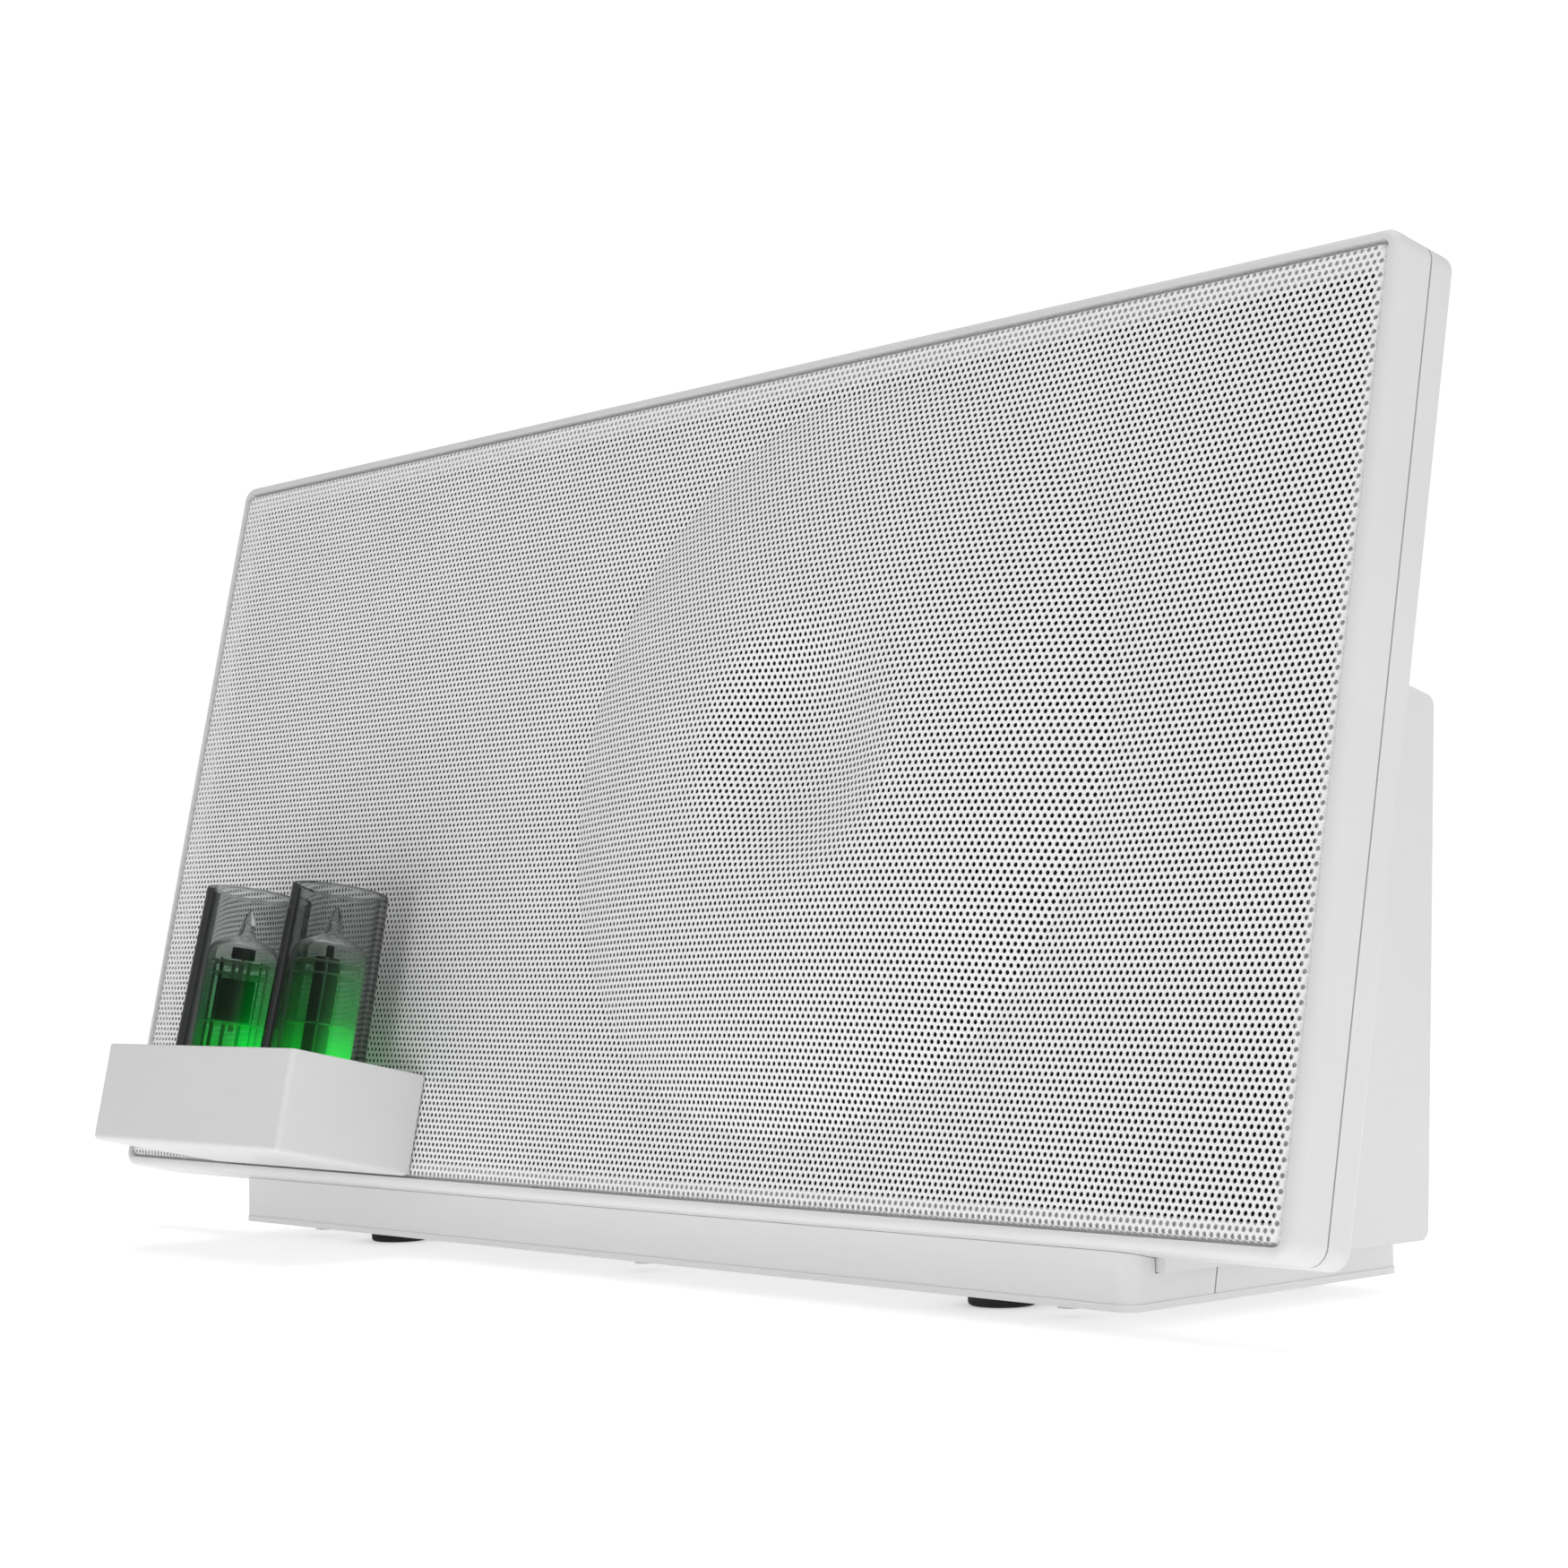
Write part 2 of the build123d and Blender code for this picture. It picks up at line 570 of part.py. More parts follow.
def power_transformer():
    """Laminated core with its bobbin, on the cabinet floor."""
    core = block(-160, -104, 62, 84, FLOOR_Z, FLOOR_Z + 46)
    core -= block(-150.5, -140.5, 60, 86, FLOOR_Z + 9, FLOOR_Z + 37)
    core -= block(-123.5, -113.5, 60, 86, FLOOR_Z + 9, FLOOR_Z + 37)
    coil = block(-150.3, -113.7, 53, 93, FLOOR_Z + 9.2, FLOOR_Z + 36.8)
    coil = fillet(coil.edges().filter_by(Axis.Z), 3.0)
    coil -= block(-140.5, -123.5, 50, 96, FLOOR_Z + 9, FLOOR_Z + 37)
    coil -= block(-140.6, -123.4, 61.8, 84.2, FLOOR_Z + 8, FLOOR_Z + 38)
    return [core, coil]


# ---- plinth -------------------------------------------------------------------------------
def plinth_plan(grow):
    """Plan outline of the plinth, slightly narrower at the back."""
    front = PLINTH_FRONT - grow
    rear = PLINTH_REAR + grow
    wide = PLINTH_FRONT_HALF + grow
    narrow = PLINTH_REAR_HALF + grow
    return make_face(Polyline((-wide, front), (wide, front), (narrow, rear), (-narrow, rear), close=True))


def plinth_block(grow, z0, z1):
    """The plinth's plan raised between two heights, with rounded upright edges."""
    body = extrude(Pos(0, 0, z0) * plinth_plan(grow), z1 - z0)
    return fillet(body.edges().filter_by(Axis.Z), 4.0 + grow)


def plinth():
    """Whole plinth shell: its top follows the panel's leaning bottom, then the cabinet floor."""
    body = plinth_block(0, PLATE_TOP, 0)
    gap = 0.1
    nose = panel_point(0, -gap)
    heel = panel_point(PANEL_DEPTH, -gap)
    step_y = panel_point(PANEL_DEPTH, 0)[0] + gap
    above = [nose, heel, (step_y, PLINTH_TOP), (200, PLINTH_TOP), (200, 10),
             (nose[0] - 10, 10), (nose[0] - 10, nose[1])]
    body -= side_prism(above, 200)
    hollow = plinth_block(-SHELL, PLATE_TOP - 1, PLINTH_TOP - SHELL)
    return body - hollow


def plinth_cutter(gap):
    """Everything in front of the plinth's leaning joint."""
    lean = Location((0, PLINTH_SPLIT, PLATE_BOTTOM), (-LEAN_DEG, 0, 0))
    return lean * block(-200, 200, -60, -gap, -5, 30)


PLINTH_SCREWS = [(x, y) for x in (-150.0, 0.0, 150.0) for y in (22.0, 100.0)]


def plinth_bosses():
    """Screw bosses under the plinth's top."""
    bosses = [rod_z(4.0, PLATE_TOP, PLINTH_TOP - SHELL, x, y) for x, y in PLINTH_SCREWS]
    holes = [rod_z(HOLE_R, PLATE_TOP - 1, PLATE_TOP + 5.5, x, y) for x, y in PLINTH_SCREWS]
    return bosses, holes


def plinth_parts():
    """Front and rear plinth mouldings."""
    whole = plinth()
    bosses, holes = plinth_bosses()
    for boss in bosses:
        whole += boss
    for hole in holes:
        whole -= hole
    return whole & plinth_cutter(SEAM / 2), whole - plinth_cutter(-SEAM / 2)


def plinth_plate():
    """Bottom plate, whose edge stands just proud of the plinth, with foot and screw holes."""
    body = plinth_block(0.2, PLATE_BOTTOM, PLATE_TOP)
    for x, y in FOOT_SPOTS:
        body -= rod_z(3.0, PLATE_BOTTOM - 1, PLATE_TOP + 1, x, y)
    for x, y in PLINTH_SCREWS:
        body -= rod_z(HOLE_R, PLATE_BOTTOM - 1, PLATE_TOP + 1, x, y)
    return body


def plinth_screws():
    """Screws up through the bottom plate."""
    solids = []
    for x, y in PLINTH_SCREWS:
        solids.append(rod_z(HEAD_R, PLATE_BOTTOM - HEAD_H, PLATE_BOTTOM, x, y)
                      + rod_z(SCREW_R, PLATE_BOTTOM, PLATE_TOP + 5, x, y))
    return solids


def rubber_feet():
    """Four push-in feet."""
    solids = []
    for x, y in FOOT_SPOTS:
        pad = fillet(rod_z(FOOT_R, PLATE_BOTTOM - FOOT_H, PLATE_BOTTOM, x, y).edges().sort_by(Axis.Z)[0], 1.0)
        solids.append(pad + rod_z(3.0, PLATE_BOTTOM, PLATE_TOP + 1.5, x, y))
    return solids


# ---- tube tray ----------------------------------------------------------------------------
TRAY_BACK = -0.2
TRAY_MID = (TRAY_X0 + TRAY_X1) / 2
TRAY_CABLE = (TRAY_MID, 14.0)
TRAY_SCREWS = [(TRAY_MID - 36.0, 14.0), (TRAY_MID + 36.0, 14.0)]
TOP_T = 1.8
BOARD_LOW = 11.0
SOCKET_R = 10.4
SOCKET_LOW = 15.0
SOCKET_TOP = TUBE_SEAT - 0.3
LAMP_R = 2.3


def tray_shell():
    """Open-topped tray that stands out of the panel and carries the tubes."""
    body = block(TRAY_X0, TRAY_X1, -TRAY_REACH, TRAY_BACK, TRAY_Z0, TRAY_Z1)
    front_corners = body.edges().filter_by(Axis.Z).sort_by(Axis.Y)[:2]
    body = fillet(front_corners, 1.6)
    body = fillet(body.faces().sort_by(Axis.Z)[0].edges(), 1.6)
    body = fillet(body.faces().sort_by(Axis.Z)[-1].edges(), 0.6)
    inner = TRAY_WALL
    body -= block(TRAY_X0 + inner, TRAY_X1 - inner, -TRAY_REACH + inner, TRAY_BACK - inner,
                  TRAY_Z0 + inner, TRAY_Z1 + 1)
    shelf = block(TRAY_X0 + 1.4, TRAY_X1 - 1.4, -TRAY_REACH + 1.4, TRAY_BACK - 1.4,
                  TRAY_Z1 - TOP_T - 0.1, TRAY_Z1 + 1)
    body -= shelf
    body -= rod_y(4.0, -5, 1, *TRAY_CABLE)
    for x, z in TRAY_SCREWS:
        body -= rod_y(HOLE_R, -5, 1, x, z)
    for x in (TRAY_X0 + 8, TRAY_X1 - 8):
        for y in (-37.0, -8.0):
            body += rod_z(2.6, TRAY_Z0 + inner, BOARD_LOW, x, y)
    return body


def tray_screws():
    """Two screws from the tray into the baffle."""
    return [screw_y(x, z, TRAY_BACK - TRAY_WALL, 14.0) for x, z in TRAY_SCREWS]


def tray_top():
    """Lid with an opening over each socket and a groove for each chimney."""
    body = block(TRAY_X0 + 1.6, TRAY_X1 - 1.6, -TRAY_REACH + 1.6, TRAY_BACK - 1.6, TRAY_Z1 - TOP_T, TRAY_Z1)
    for x in TUBE_XS.values():
        body -= rod_z(GLASS_R + 1.0, 0, 50, x, TUBE_Y)
        groove = rod_z(CHIMNEY_R0 + 0.3, CHIMNEY_FOOT - 0.1, 50, x, TUBE_Y)
        groove -= rod_z(CHIMNEY_R0 - CHIMNEY_WALL - 0.3, 0, 60, x, TUBE_Y)
        body -= groove
    return body


def tube_board():
    """Small circuit board under the sockets."""
    body = block(TRAY_X0 + 4, TRAY_X1 - 4, -TRAY_REACH + 4, -5.0, BOARD_LOW, BOARD_LOW + 1.6)
    for x in TUBE_XS.values():
        for dx in (-8.0, 8.0):
            body += block(x + dx - 1, x + dx + 1, TUBE_Y - 2, TUBE_Y + 2, BOARD_LOW + 1.6, SOCKET_LOW)
    return body


def pin_spots(x):
    """Centres of the nine pins: ten places with one left out."""
    turns = [radians(PIN_STEP_DEG * (i + 1) - 90) for i in range(9)]
    return [(x + PIN_CIRCLE_R * cos(a), TUBE_Y + PIN_CIRCLE_R * sin(a)) for a in turns]


def tube_socket(x):
    """Nine-pin socket with a centre hole for the lamp."""
    body = rod_z(SOCKET_R, SOCKET_LOW, SOCKET_TOP, x, TUBE_Y)
    body = fillet(body.edges().sort_by(Axis.Z)[-1], 0.6)
    body -= rod_z(LAMP_R + 0.3, SOCKET_LOW - 1, SOCKET_TOP + 1, x, TUBE_Y)
    for px, py in pin_spots(x):
        body -= rod_z(PIN_HOLE_R, SOCKET_LOW + 1, SOCKET_TOP + 1, px, py)
    return body


def tube_lamps():
    """A green light-emitting diode in the middle of each socket."""
    solids = []
    for x in TUBE_XS.values():
        lamp = rod_z(LAMP_R, BOARD_LOW + 1.6, TUBE_SEAT - 1.2, x, TUBE_Y)
        solids.append(fillet(lamp.edges().sort_by(Axis.Z)[-1], 1.8))
    return solids


def tube_chimney(x):
    """Tapered clear chimney, open at the top, round one tube."""
    rim = 0.7
    low = CHIMNEY_FOOT
    high = CHIMNEY_TOP
    inner0 = CHIMNEY_R0 - CHIMNEY_WALL
    inner1 = CHIMNEY_R1 - CHIMNEY_WALL
    wall = turned_z([(inner0, low), (CHIMNEY_R0, low), (CHIMNEY_R1, high - rim), (CHIMNEY_R1 - rim, high),
                     (inner1 + rim, high), (inner1, high - rim)])
    return Pos(x, TUBE_Y, 0) * wall


# ---- vacuum tubes (heights up the panel, about the tube's own axis) -------------------------
BUTTON_TOP = TUBE_SEAT + 2.2
MICA_LEVELS = (40.6, 54.6, 58.0)
MICA_R = 9.0
MICA_T = 0.4
TUBE_TURNS = {"left": 55.0, "right": -36.0}     # how far each tube is turned in its socket
ROD_R = 0.45
ROD_TOP = 59.2
ROD_SPOTS = [(sx * 2.2, sy * 1.4) for sx in (-1, 1) for sy in (-1, 1)] + [(-7.6, 0.0), (7.6, 0.0)]
CATHODE_R = 0.7
ANODE_HALF = (4.8, 2.8)
ANODE_SPAN = (41.6, 53.6)
ANODE_T = 0.4
SCREEN_X = 5.6
SCREEN_HALF = 3.2
SCREEN_SPAN = (31.0, 59.4)
GETTER_HALF = (3.3, 0.9)
GETTER_SPAN = (59.8, 63.4)


def tube_envelope():
    """Glass bulb: flat button, straight wall, round shoulder and drawn-off tip."""
    outer = [(0, TUBE_SEAT), (GLASS_R - 1.2, TUBE_SEAT), (GLASS_R, TUBE_SEAT + 1.5), (GLASS_R, TUBE_SHOULDER - 1.5),
             (GLASS_R - 0.9, TUBE_SHOULDER + 0.9), (GLASS_R - 3.2, TUBE_SHOULDER + 2.6), (4.2, TUBE_SHOULDER + 3.9),
             (2.6, TUBE_SHOULDER + 5.6), (2.0, TUBE_SHOULDER + 8.0), (1.1, TUBE_TIP - 1.6), (0, TUBE_TIP)]
    wall = GLASS_T
    inner = [(0, BUTTON_TOP), (GLASS_R - 2.0, BUTTON_TOP), (GLASS_R - wall, BUTTON_TOP + 1.2),
             (GLASS_R - wall, TUBE_SHOULDER - 1.8), (GLASS_R - 1.6, TUBE_SHOULDER + 0.2),
             (GLASS_R - 3.6, TUBE_SHOULDER + 1.7), (3.4, TUBE_SHOULDER + 3.1), (1.6, TUBE_SHOULDER + 5.2),
             (1.0, TUBE_SHOULDER + 7.6), (0, TUBE_SHOULDER + 9.4)]
    return turned_z(outer) - turned_z(inner)


def tube_pins(x):
    """Nine contact pins under the button."""
    pins = [rod_z(PIN_R, TUBE_SEAT - PIN_LENGTH, TUBE_SEAT, px, py) for px, py in pin_spots(x)]
    return [fillet(pin.edges().sort_by(Axis.Z)[0], 0.3) for pin in pins]


def tube_supports():
    """Support rods, the cathode sleeve inside the anode, and the getter's stem."""
    rods = [rod_z(ROD_R, BUTTON_TOP, ROD_TOP, x, y) for x, y in ROD_SPOTS]
    sleeve = rod_z(CATHODE_R, MICA_LEVELS[0] - 2.0, ROD_TOP)
    stem = rod_z(0.3, ROD_TOP, GETTER_SPAN[0])
    return rods + [sleeve + stem]


def tube_anodes():
    """Blackened anode box, the screen plates beside it, and the getter cup above."""
    half_x, half_y = ANODE_HALF
    low, high = ANODE_SPAN
    anode = block(-half_x, half_x, -half_y, half_y, low, high)
    anode -= block(ANODE_T - half_x, half_x - ANODE_T, ANODE_T - half_y, half_y - ANODE_T, low - 1, high + 1)
    screens = [block(x - 0.2, x + 0.2, -SCREEN_HALF, SCREEN_HALF, *SCREEN_SPAN) for x in (-SCREEN_X, SCREEN_X)]
    getter_x, getter_y = GETTER_HALF
    getter = block(-getter_x, getter_x, -getter_y, getter_y, *GETTER_SPAN)
    return [anode] + screens + [getter]


def tube_micas():
    """Toothed mica discs that hold the electrodes."""
    solids = []
    for z in MICA_LEVELS:
        disc = rod_z(MICA_R, z, z + MICA_T)
        for i in range(16):
            angle = 2 * pi * i / 16
            disc -= rod_z(0.6, z - 1, z + 1, MICA_R * cos(angle), MICA_R * sin(angle))
        for held in tube_supports() + tube_anodes():
            disc -= held
        solids.append(disc)
    return solids


def tube_nodes(side, x):
    """All pieces of one tube and what it plugs into."""
    here = LEAN * Pos(x, TUBE_Y, 0) * Rot(0, 0, TUBE_TURNS[side])
    return {
        f"tube_{side}_envelope": [here * tube_envelope()],
        f"tube_{side}_pins": [LEAN * pin for pin in tube_pins(x)],
        f"tube_{side}_supports": [here * support for support in tube_supports()],
        f"tube_{side}_micas": [here * mica for mica in tube_micas()],
        f"tube_{side}_anodes": [here * anode for anode in tube_anodes()],
        f"tube_{side}_socket": [LEAN * tube_socket(x)],
        f"tube_{side}_chimney": [LEAN * tube_chimney(x)],
    }


# ---- assembly -----------------------------------------------------------------------------
def placed(location, solids):
    """A node's solids, moved from the frame they were drawn in."""
    return [location * solid for solid in (solids if isinstance(solids, list) else [solids])]


def assembly():
    """Every node's name and solids, standing on z = 0."""
    plinth_front, plinth_rear = plinth_parts()
    leaning = {"front_bezel": front_bezel(), "panel_rear_shell": panel_rear_shell(), "grille": grille(),
               "baffle": baffle(), "panel_screws": panel_screws(), "driver_screws": driver_screws(),
               "tray_shell": tray_shell(), "tray_top": tray_top(), "tray_screws": tray_screws(),
               "tube_board": tube_board(), "tube_lamps": tube_lamps()}
    level = {"amplifier_board": amplifier_board(), "filter_capacitors": filter_capacitors(),
             "heat_sink": heat_sink(), "power_transformer": power_transformer(), "plinth_front": plinth_front,
             "plinth_rear": plinth_rear, "plinth_plate": plinth_plate(), "plinth_screws": plinth_screws(),
             "rubber_feet": rubber_feet()}
    rear = {"bass_port": bass_port(), "connector_plate": connector_plate(), "connector_screws": connector_screws(),
            "mains_inlet": mains_inlet(), "switch_frame": switch_frame(), "switch_rocker": switch_rocker(),
            "audio_jacks": audio_jacks(), "control_board": control_board(), "volume_knob": volume_knob(),
            "source_button": source_button()}
    nodes = {"rear_cabinet": [rear_cabinet()]}
    for location, group in ((LEAN, leaning), (RAISE, level), (REAR, rear)):
        nodes |= {name: placed(location, solids) for name, solids in group.items()}
    nodes |= driver_nodes("woofer", WOOFER, WOOFER["x"], full=True)
    for side, x in FULL_RANGE_XS.items():
        nodes |= driver_nodes(f"{side}_driver", FULL_RANGE, x, full=False)
    for side, x in TUBE_XS.items():
        nodes |= tube_nodes(side, x)
    return nodes


NODES = assembly()
BOX = Compound([solid for solids in NODES.values() for solid in solids]).bounding_box()
CENTER = Pos(-BOX.center().X, -BOX.center().Y, -BOX.min.Z)

if __name__ == "__main__":
    os.makedirs("parts", exist_ok=True)
    for name, solids in NODES.items():
        moved = [CENTER * solid for solid in solids]
        export_step(Compound(moved) if len(moved) > 1 else moved[0], f"parts/{name}.step")
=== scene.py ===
"""Looks of the tube-hybrid tabletop amplifier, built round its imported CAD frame. Metres."""
import json
import math

import bmesh
import bpy
import numpy as np
from mathutils import Matrix, Vector


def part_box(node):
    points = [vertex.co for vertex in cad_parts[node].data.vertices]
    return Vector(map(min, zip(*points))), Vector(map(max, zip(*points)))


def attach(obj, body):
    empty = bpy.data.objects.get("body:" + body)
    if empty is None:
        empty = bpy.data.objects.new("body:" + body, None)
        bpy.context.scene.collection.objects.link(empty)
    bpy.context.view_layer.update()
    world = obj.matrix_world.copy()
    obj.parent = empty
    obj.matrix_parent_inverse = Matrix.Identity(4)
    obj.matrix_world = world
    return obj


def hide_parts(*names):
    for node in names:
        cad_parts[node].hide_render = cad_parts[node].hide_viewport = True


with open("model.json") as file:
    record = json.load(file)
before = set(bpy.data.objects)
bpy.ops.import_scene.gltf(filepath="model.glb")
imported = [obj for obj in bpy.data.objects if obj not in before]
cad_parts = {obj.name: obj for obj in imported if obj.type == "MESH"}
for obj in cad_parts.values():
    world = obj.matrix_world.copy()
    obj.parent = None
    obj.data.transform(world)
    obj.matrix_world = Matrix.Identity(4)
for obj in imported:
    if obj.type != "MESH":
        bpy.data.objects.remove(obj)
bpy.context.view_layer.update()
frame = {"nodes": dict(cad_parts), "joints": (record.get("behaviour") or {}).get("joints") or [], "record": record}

# ---- the panel's own frame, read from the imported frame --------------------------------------
PANEL_H = 0.220
PANEL_W = 0.460
BEZEL_DEPTH = 0.0115
RIM = 0.0026
GRILLE_GAP = 0.0006
TUBE_IN = -0.0202         # the tubes' axes stand this far in front of the panel
JOINTS = {joint["name"]: joint for joint in frame["joints"]}
PANEL_UP = Vector(JOINTS["tube_left_pull"]["axis"]).normalized()
PANEL_IN = Vector((0.0, PANEL_UP.z, -PANEL_UP.y))
BEZEL_LOW, BEZEL_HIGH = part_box("front_bezel")
PANEL_ORIGIN = Vector((
    (BEZEL_LOW[0] + BEZEL_HIGH[0]) / 2,
    BEZEL_HIGH[1] - PANEL_H * PANEL_UP.y - BEZEL_DEPTH * PANEL_IN.y,
    BEZEL_LOW[2] - BEZEL_DEPTH * PANEL_IN.z,
))
PANEL_MATRIX = Matrix.Translation(PANEL_ORIGIN) @ Matrix((
    (1.0, 0.0, 0.0, 0.0),
    (0.0, PANEL_IN.y, PANEL_UP.y, 0.0),
    (0.0, PANEL_IN.z, PANEL_UP.z, 0.0),
    (0.0, 0.0, 0.0, 1.0),
))

# ---- camera and light ------------------------------------------------------------------------
CAMERA_FROM_PANEL = Vector((0.6202, -0.4794, 0.0646))
CAMERA_AZIMUTH = math.radians(48.32)
CAMERA_RISE = math.radians(3.01)      # the lens looks this far up
CAMERA_ROLL = math.radians(-0.96)
LENS_MM = 70.1
SENSOR_MM = 36.0
BACKDROP = 1.02                       # strength that only the camera sees
GLOSS_SHARE = 0.30                    # share of the studio light seen in gloss and through glass
DIM_SIDE = (-0.26, -0.97, 0.0)        # the studio is dimmest this way
WORLD_BRIGHT = 0.85
WORLD_DIM = 0.30
DIM_FROM = -0.6                       # the light falls off between these cosines to DIM_SIDE
DIM_TO = 0.9


def make_camera():
    """The camera at the front right, low and close."""
    data = bpy.data.cameras.new("camera")
    data.sensor_width = SENSOR_MM
    data.lens = LENS_MM
    data.clip_start = 0.01
    data.clip_end = 20.0
    camera = bpy.data.objects.new("camera", data)
    bpy.context.collection.objects.link(camera)
    turn = Matrix.Rotation(CAMERA_AZIMUTH, 4, "Z")
    lift = Matrix.Rotation(math.pi / 2 + CAMERA_RISE, 4, "X")
    roll = Matrix.Rotation(CAMERA_ROLL, 4, "Z")
    camera.matrix_world = Matrix.Translation(PANEL_ORIGIN + CAMERA_FROM_PANEL) @ turn @ lift @ roll
    bpy.context.scene.camera = camera


def area_light(name, place, aim, size, power, mirrored=False):
    """A square soft light at place, facing aim; a mirrored one shows in glossy surfaces."""
    data = bpy.data.lights.new(name, "AREA")
    data.shape = "SQUARE"
    data.size = size
    data.energy = power
    light = bpy.data.objects.new(name, data)
    bpy.context.collection.objects.link(light)
    light.location = place
    light.visible_glossy = mirrored
    light.visible_transmission = False
    light.rotation_mode = "QUATERNION"
    light.rotation_quaternion = (Vector(aim) - Vector(place)).to_track_quat("-Z", "Y")


def make_world():
    """White backdrop for the camera, and studio light that is dimmer from the front left."""
    world = bpy.data.worlds.new("studio")
    world.use_nodes = True
    tree = world.node_tree
    background = tree.nodes["Background"]
    background.inputs["Color"].default_value = (1.0, 1.0, 1.0, 1.0)
    coords = tree.nodes.new("ShaderNodeTexCoord")
    facing = tree.nodes.new("ShaderNodeVectorMath")
    facing.operation = "DOT_PRODUCT"
    facing.inputs[1].default_value = DIM_SIDE
    dim = tree.nodes.new("ShaderNodeMapRange")
    dim.interpolation_type = "SMOOTHSTEP"
    dim.inputs["From Min"].default_value = DIM_FROM
    dim.inputs["From Max"].default_value = DIM_TO
    dim.inputs["To Min"].default_value = WORLD_BRIGHT
    dim.inputs["To Max"].default_value = WORLD_DIM
    path = tree.nodes.new("ShaderNodeLightPath")
    mirrored = tree.nodes.new("ShaderNodeMath")
    mirrored.operation = "MULTIPLY"
    mirrored.inputs[1].default_value = GLOSS_SHARE
    lighting = tree.nodes.new("ShaderNodeMix")
    seen = tree.nodes.new("ShaderNodeMix")
    seen.inputs["B"].default_value = BACKDROP
    tree.links.new(coords.outputs["Generated"], facing.inputs[0])
    tree.links.new(facing.outputs["Value"], dim.inputs["Value"])
    tree.links.new(path.outputs["Is Camera Ray"], seen.inputs["Factor"])
    tree.links.new(dim.outputs["Result"], mirrored.inputs[0])
    tree.links.new(path.outputs["Is Diffuse Ray"], lighting.inputs["Factor"])
    tree.links.new(mirrored.outputs["Value"], lighting.inputs["A"])
    tree.links.new(dim.outputs["Result"], lighting.inputs["B"])
    tree.links.new(lighting.outputs["Result"], seen.inputs["A"])
    tree.links.new(seen.outputs["Result"], background.inputs["Strength"])
    bpy.context.scene.world = world
    bpy.context.scene.view_settings.view_transform = "Standard"


# ---- materials -------------------------------------------------------------------------------
NOISE_LOW = 0.3                       # usual range of a noise texture's value
NOISE_HIGH = 0.7
GLOSS_VARY = 0.12
GREEN = (0.01, 1.0, 0.10)
GLOW_BLEND = 0.005                    # depth over which a bulb's painted glow comes in
GLOW_FRONT = 0.08                     # share of the painted glow in front of that
SMOKE_COLOR = (0.05, 0.09, 0.07)
EDGE_SHADE_FROM = 0.36                      # the glass turns to its painted edge shade between these facings
EDGE_SHADE_TO = 0.72
SMEAR_SHADE = 0.98
LENS_SHADE = 0.8


def new_material(name):
    """A new node material, its tree and its Principled shader."""
    material = bpy.data.materials.new(name)
    material.use_nodes = True
    return material, material.node_tree, material.node_tree.nodes["Principled BSDF"]


def noise(tree, scale, detail=4.0, stretch=(1.0, 1.0, 1.0)):
    """Noise in the piece's own coordinates."""
    coords = tree.nodes.new("ShaderNodeTexCoord")
    mapping = tree.nodes.new("ShaderNodeMapping")
    mapping.inputs["Scale"].default_value = stretch
    texture = tree.nodes.new("ShaderNodeTexNoise")
    texture.inputs["Scale"].default_value = scale
    texture.inputs["Detail"].default_value = detail
    tree.links.new(coords.outputs["Object"], mapping.inputs["Vector"])
    tree.links.new(mapping.outputs["Vector"], texture.inputs["Vector"])
    return texture


def spread(tree, source, low, high):
    """A value from low to high that follows the source's usual range."""
    node = tree.nodes.new("ShaderNodeMapRange")
    node.inputs["From Min"].default_value = NOISE_LOW
    node.inputs["From Max"].default_value = NOISE_HIGH
    node.inputs["To Min"].default_value = low
    node.inputs["To Max"].default_value = high
    tree.links.new(source, node.inputs["Value"])
    return node.outputs["Result"]


def two_tones(tree, source, first, second):
    """A colour between two that follows the source."""
    node = tree.nodes.new("ShaderNodeMix")
    node.data_type = "RGBA"
    tree.links.new(spread(tree, source, 0.0, 1.0), node.inputs["Factor"])
    node.inputs["A"].default_value = (*first, 1.0)
    node.inputs["B"].default_value = (*second, 1.0)
    return node.outputs["Result"]


def bump(tree, source, distance, strength=1.0):
    """A bump from the source's height."""
    node = tree.nodes.new("ShaderNodeBump")
    node.inputs["Distance"].default_value = distance
    node.inputs["Strength"].default_value = strength
    tree.links.new(source, node.inputs["Height"])
    return node.outputs["Normal"]


def surface(name, color, rough, metal=0.0, vary=0.04, cloud=30.0, grain=1500.0, grain_depth=2e-5,
            stretch=(1.0, 1.0, 1.0), coat=0.0):
    """A solid finish: clouded colour, uneven gloss and a fine grain."""
    material, tree, shader = new_material(name)
    shader.inputs["Metallic"].default_value = metal
    shader.inputs["Coat Weight"].default_value = coat
    wide = noise(tree, cloud)
    fine = noise(tree, grain, 3.0, stretch)
    dark = tuple(channel * (1 - vary) for channel in color)
    light = tuple(min(1.0, channel * (1 + vary)) for channel in color)
    tree.links.new(two_tones(tree, wide.outputs["Fac"], dark, light), shader.inputs["Base Color"])
    gloss = spread(tree, wide.outputs["Fac"], rough * (1 - GLOSS_VARY), rough * (1 + GLOSS_VARY))
    tree.links.new(gloss, shader.inputs["Roughness"])
    tree.links.new(bump(tree, fine.outputs["Fac"], grain_depth), shader.inputs["Normal"])
    return material


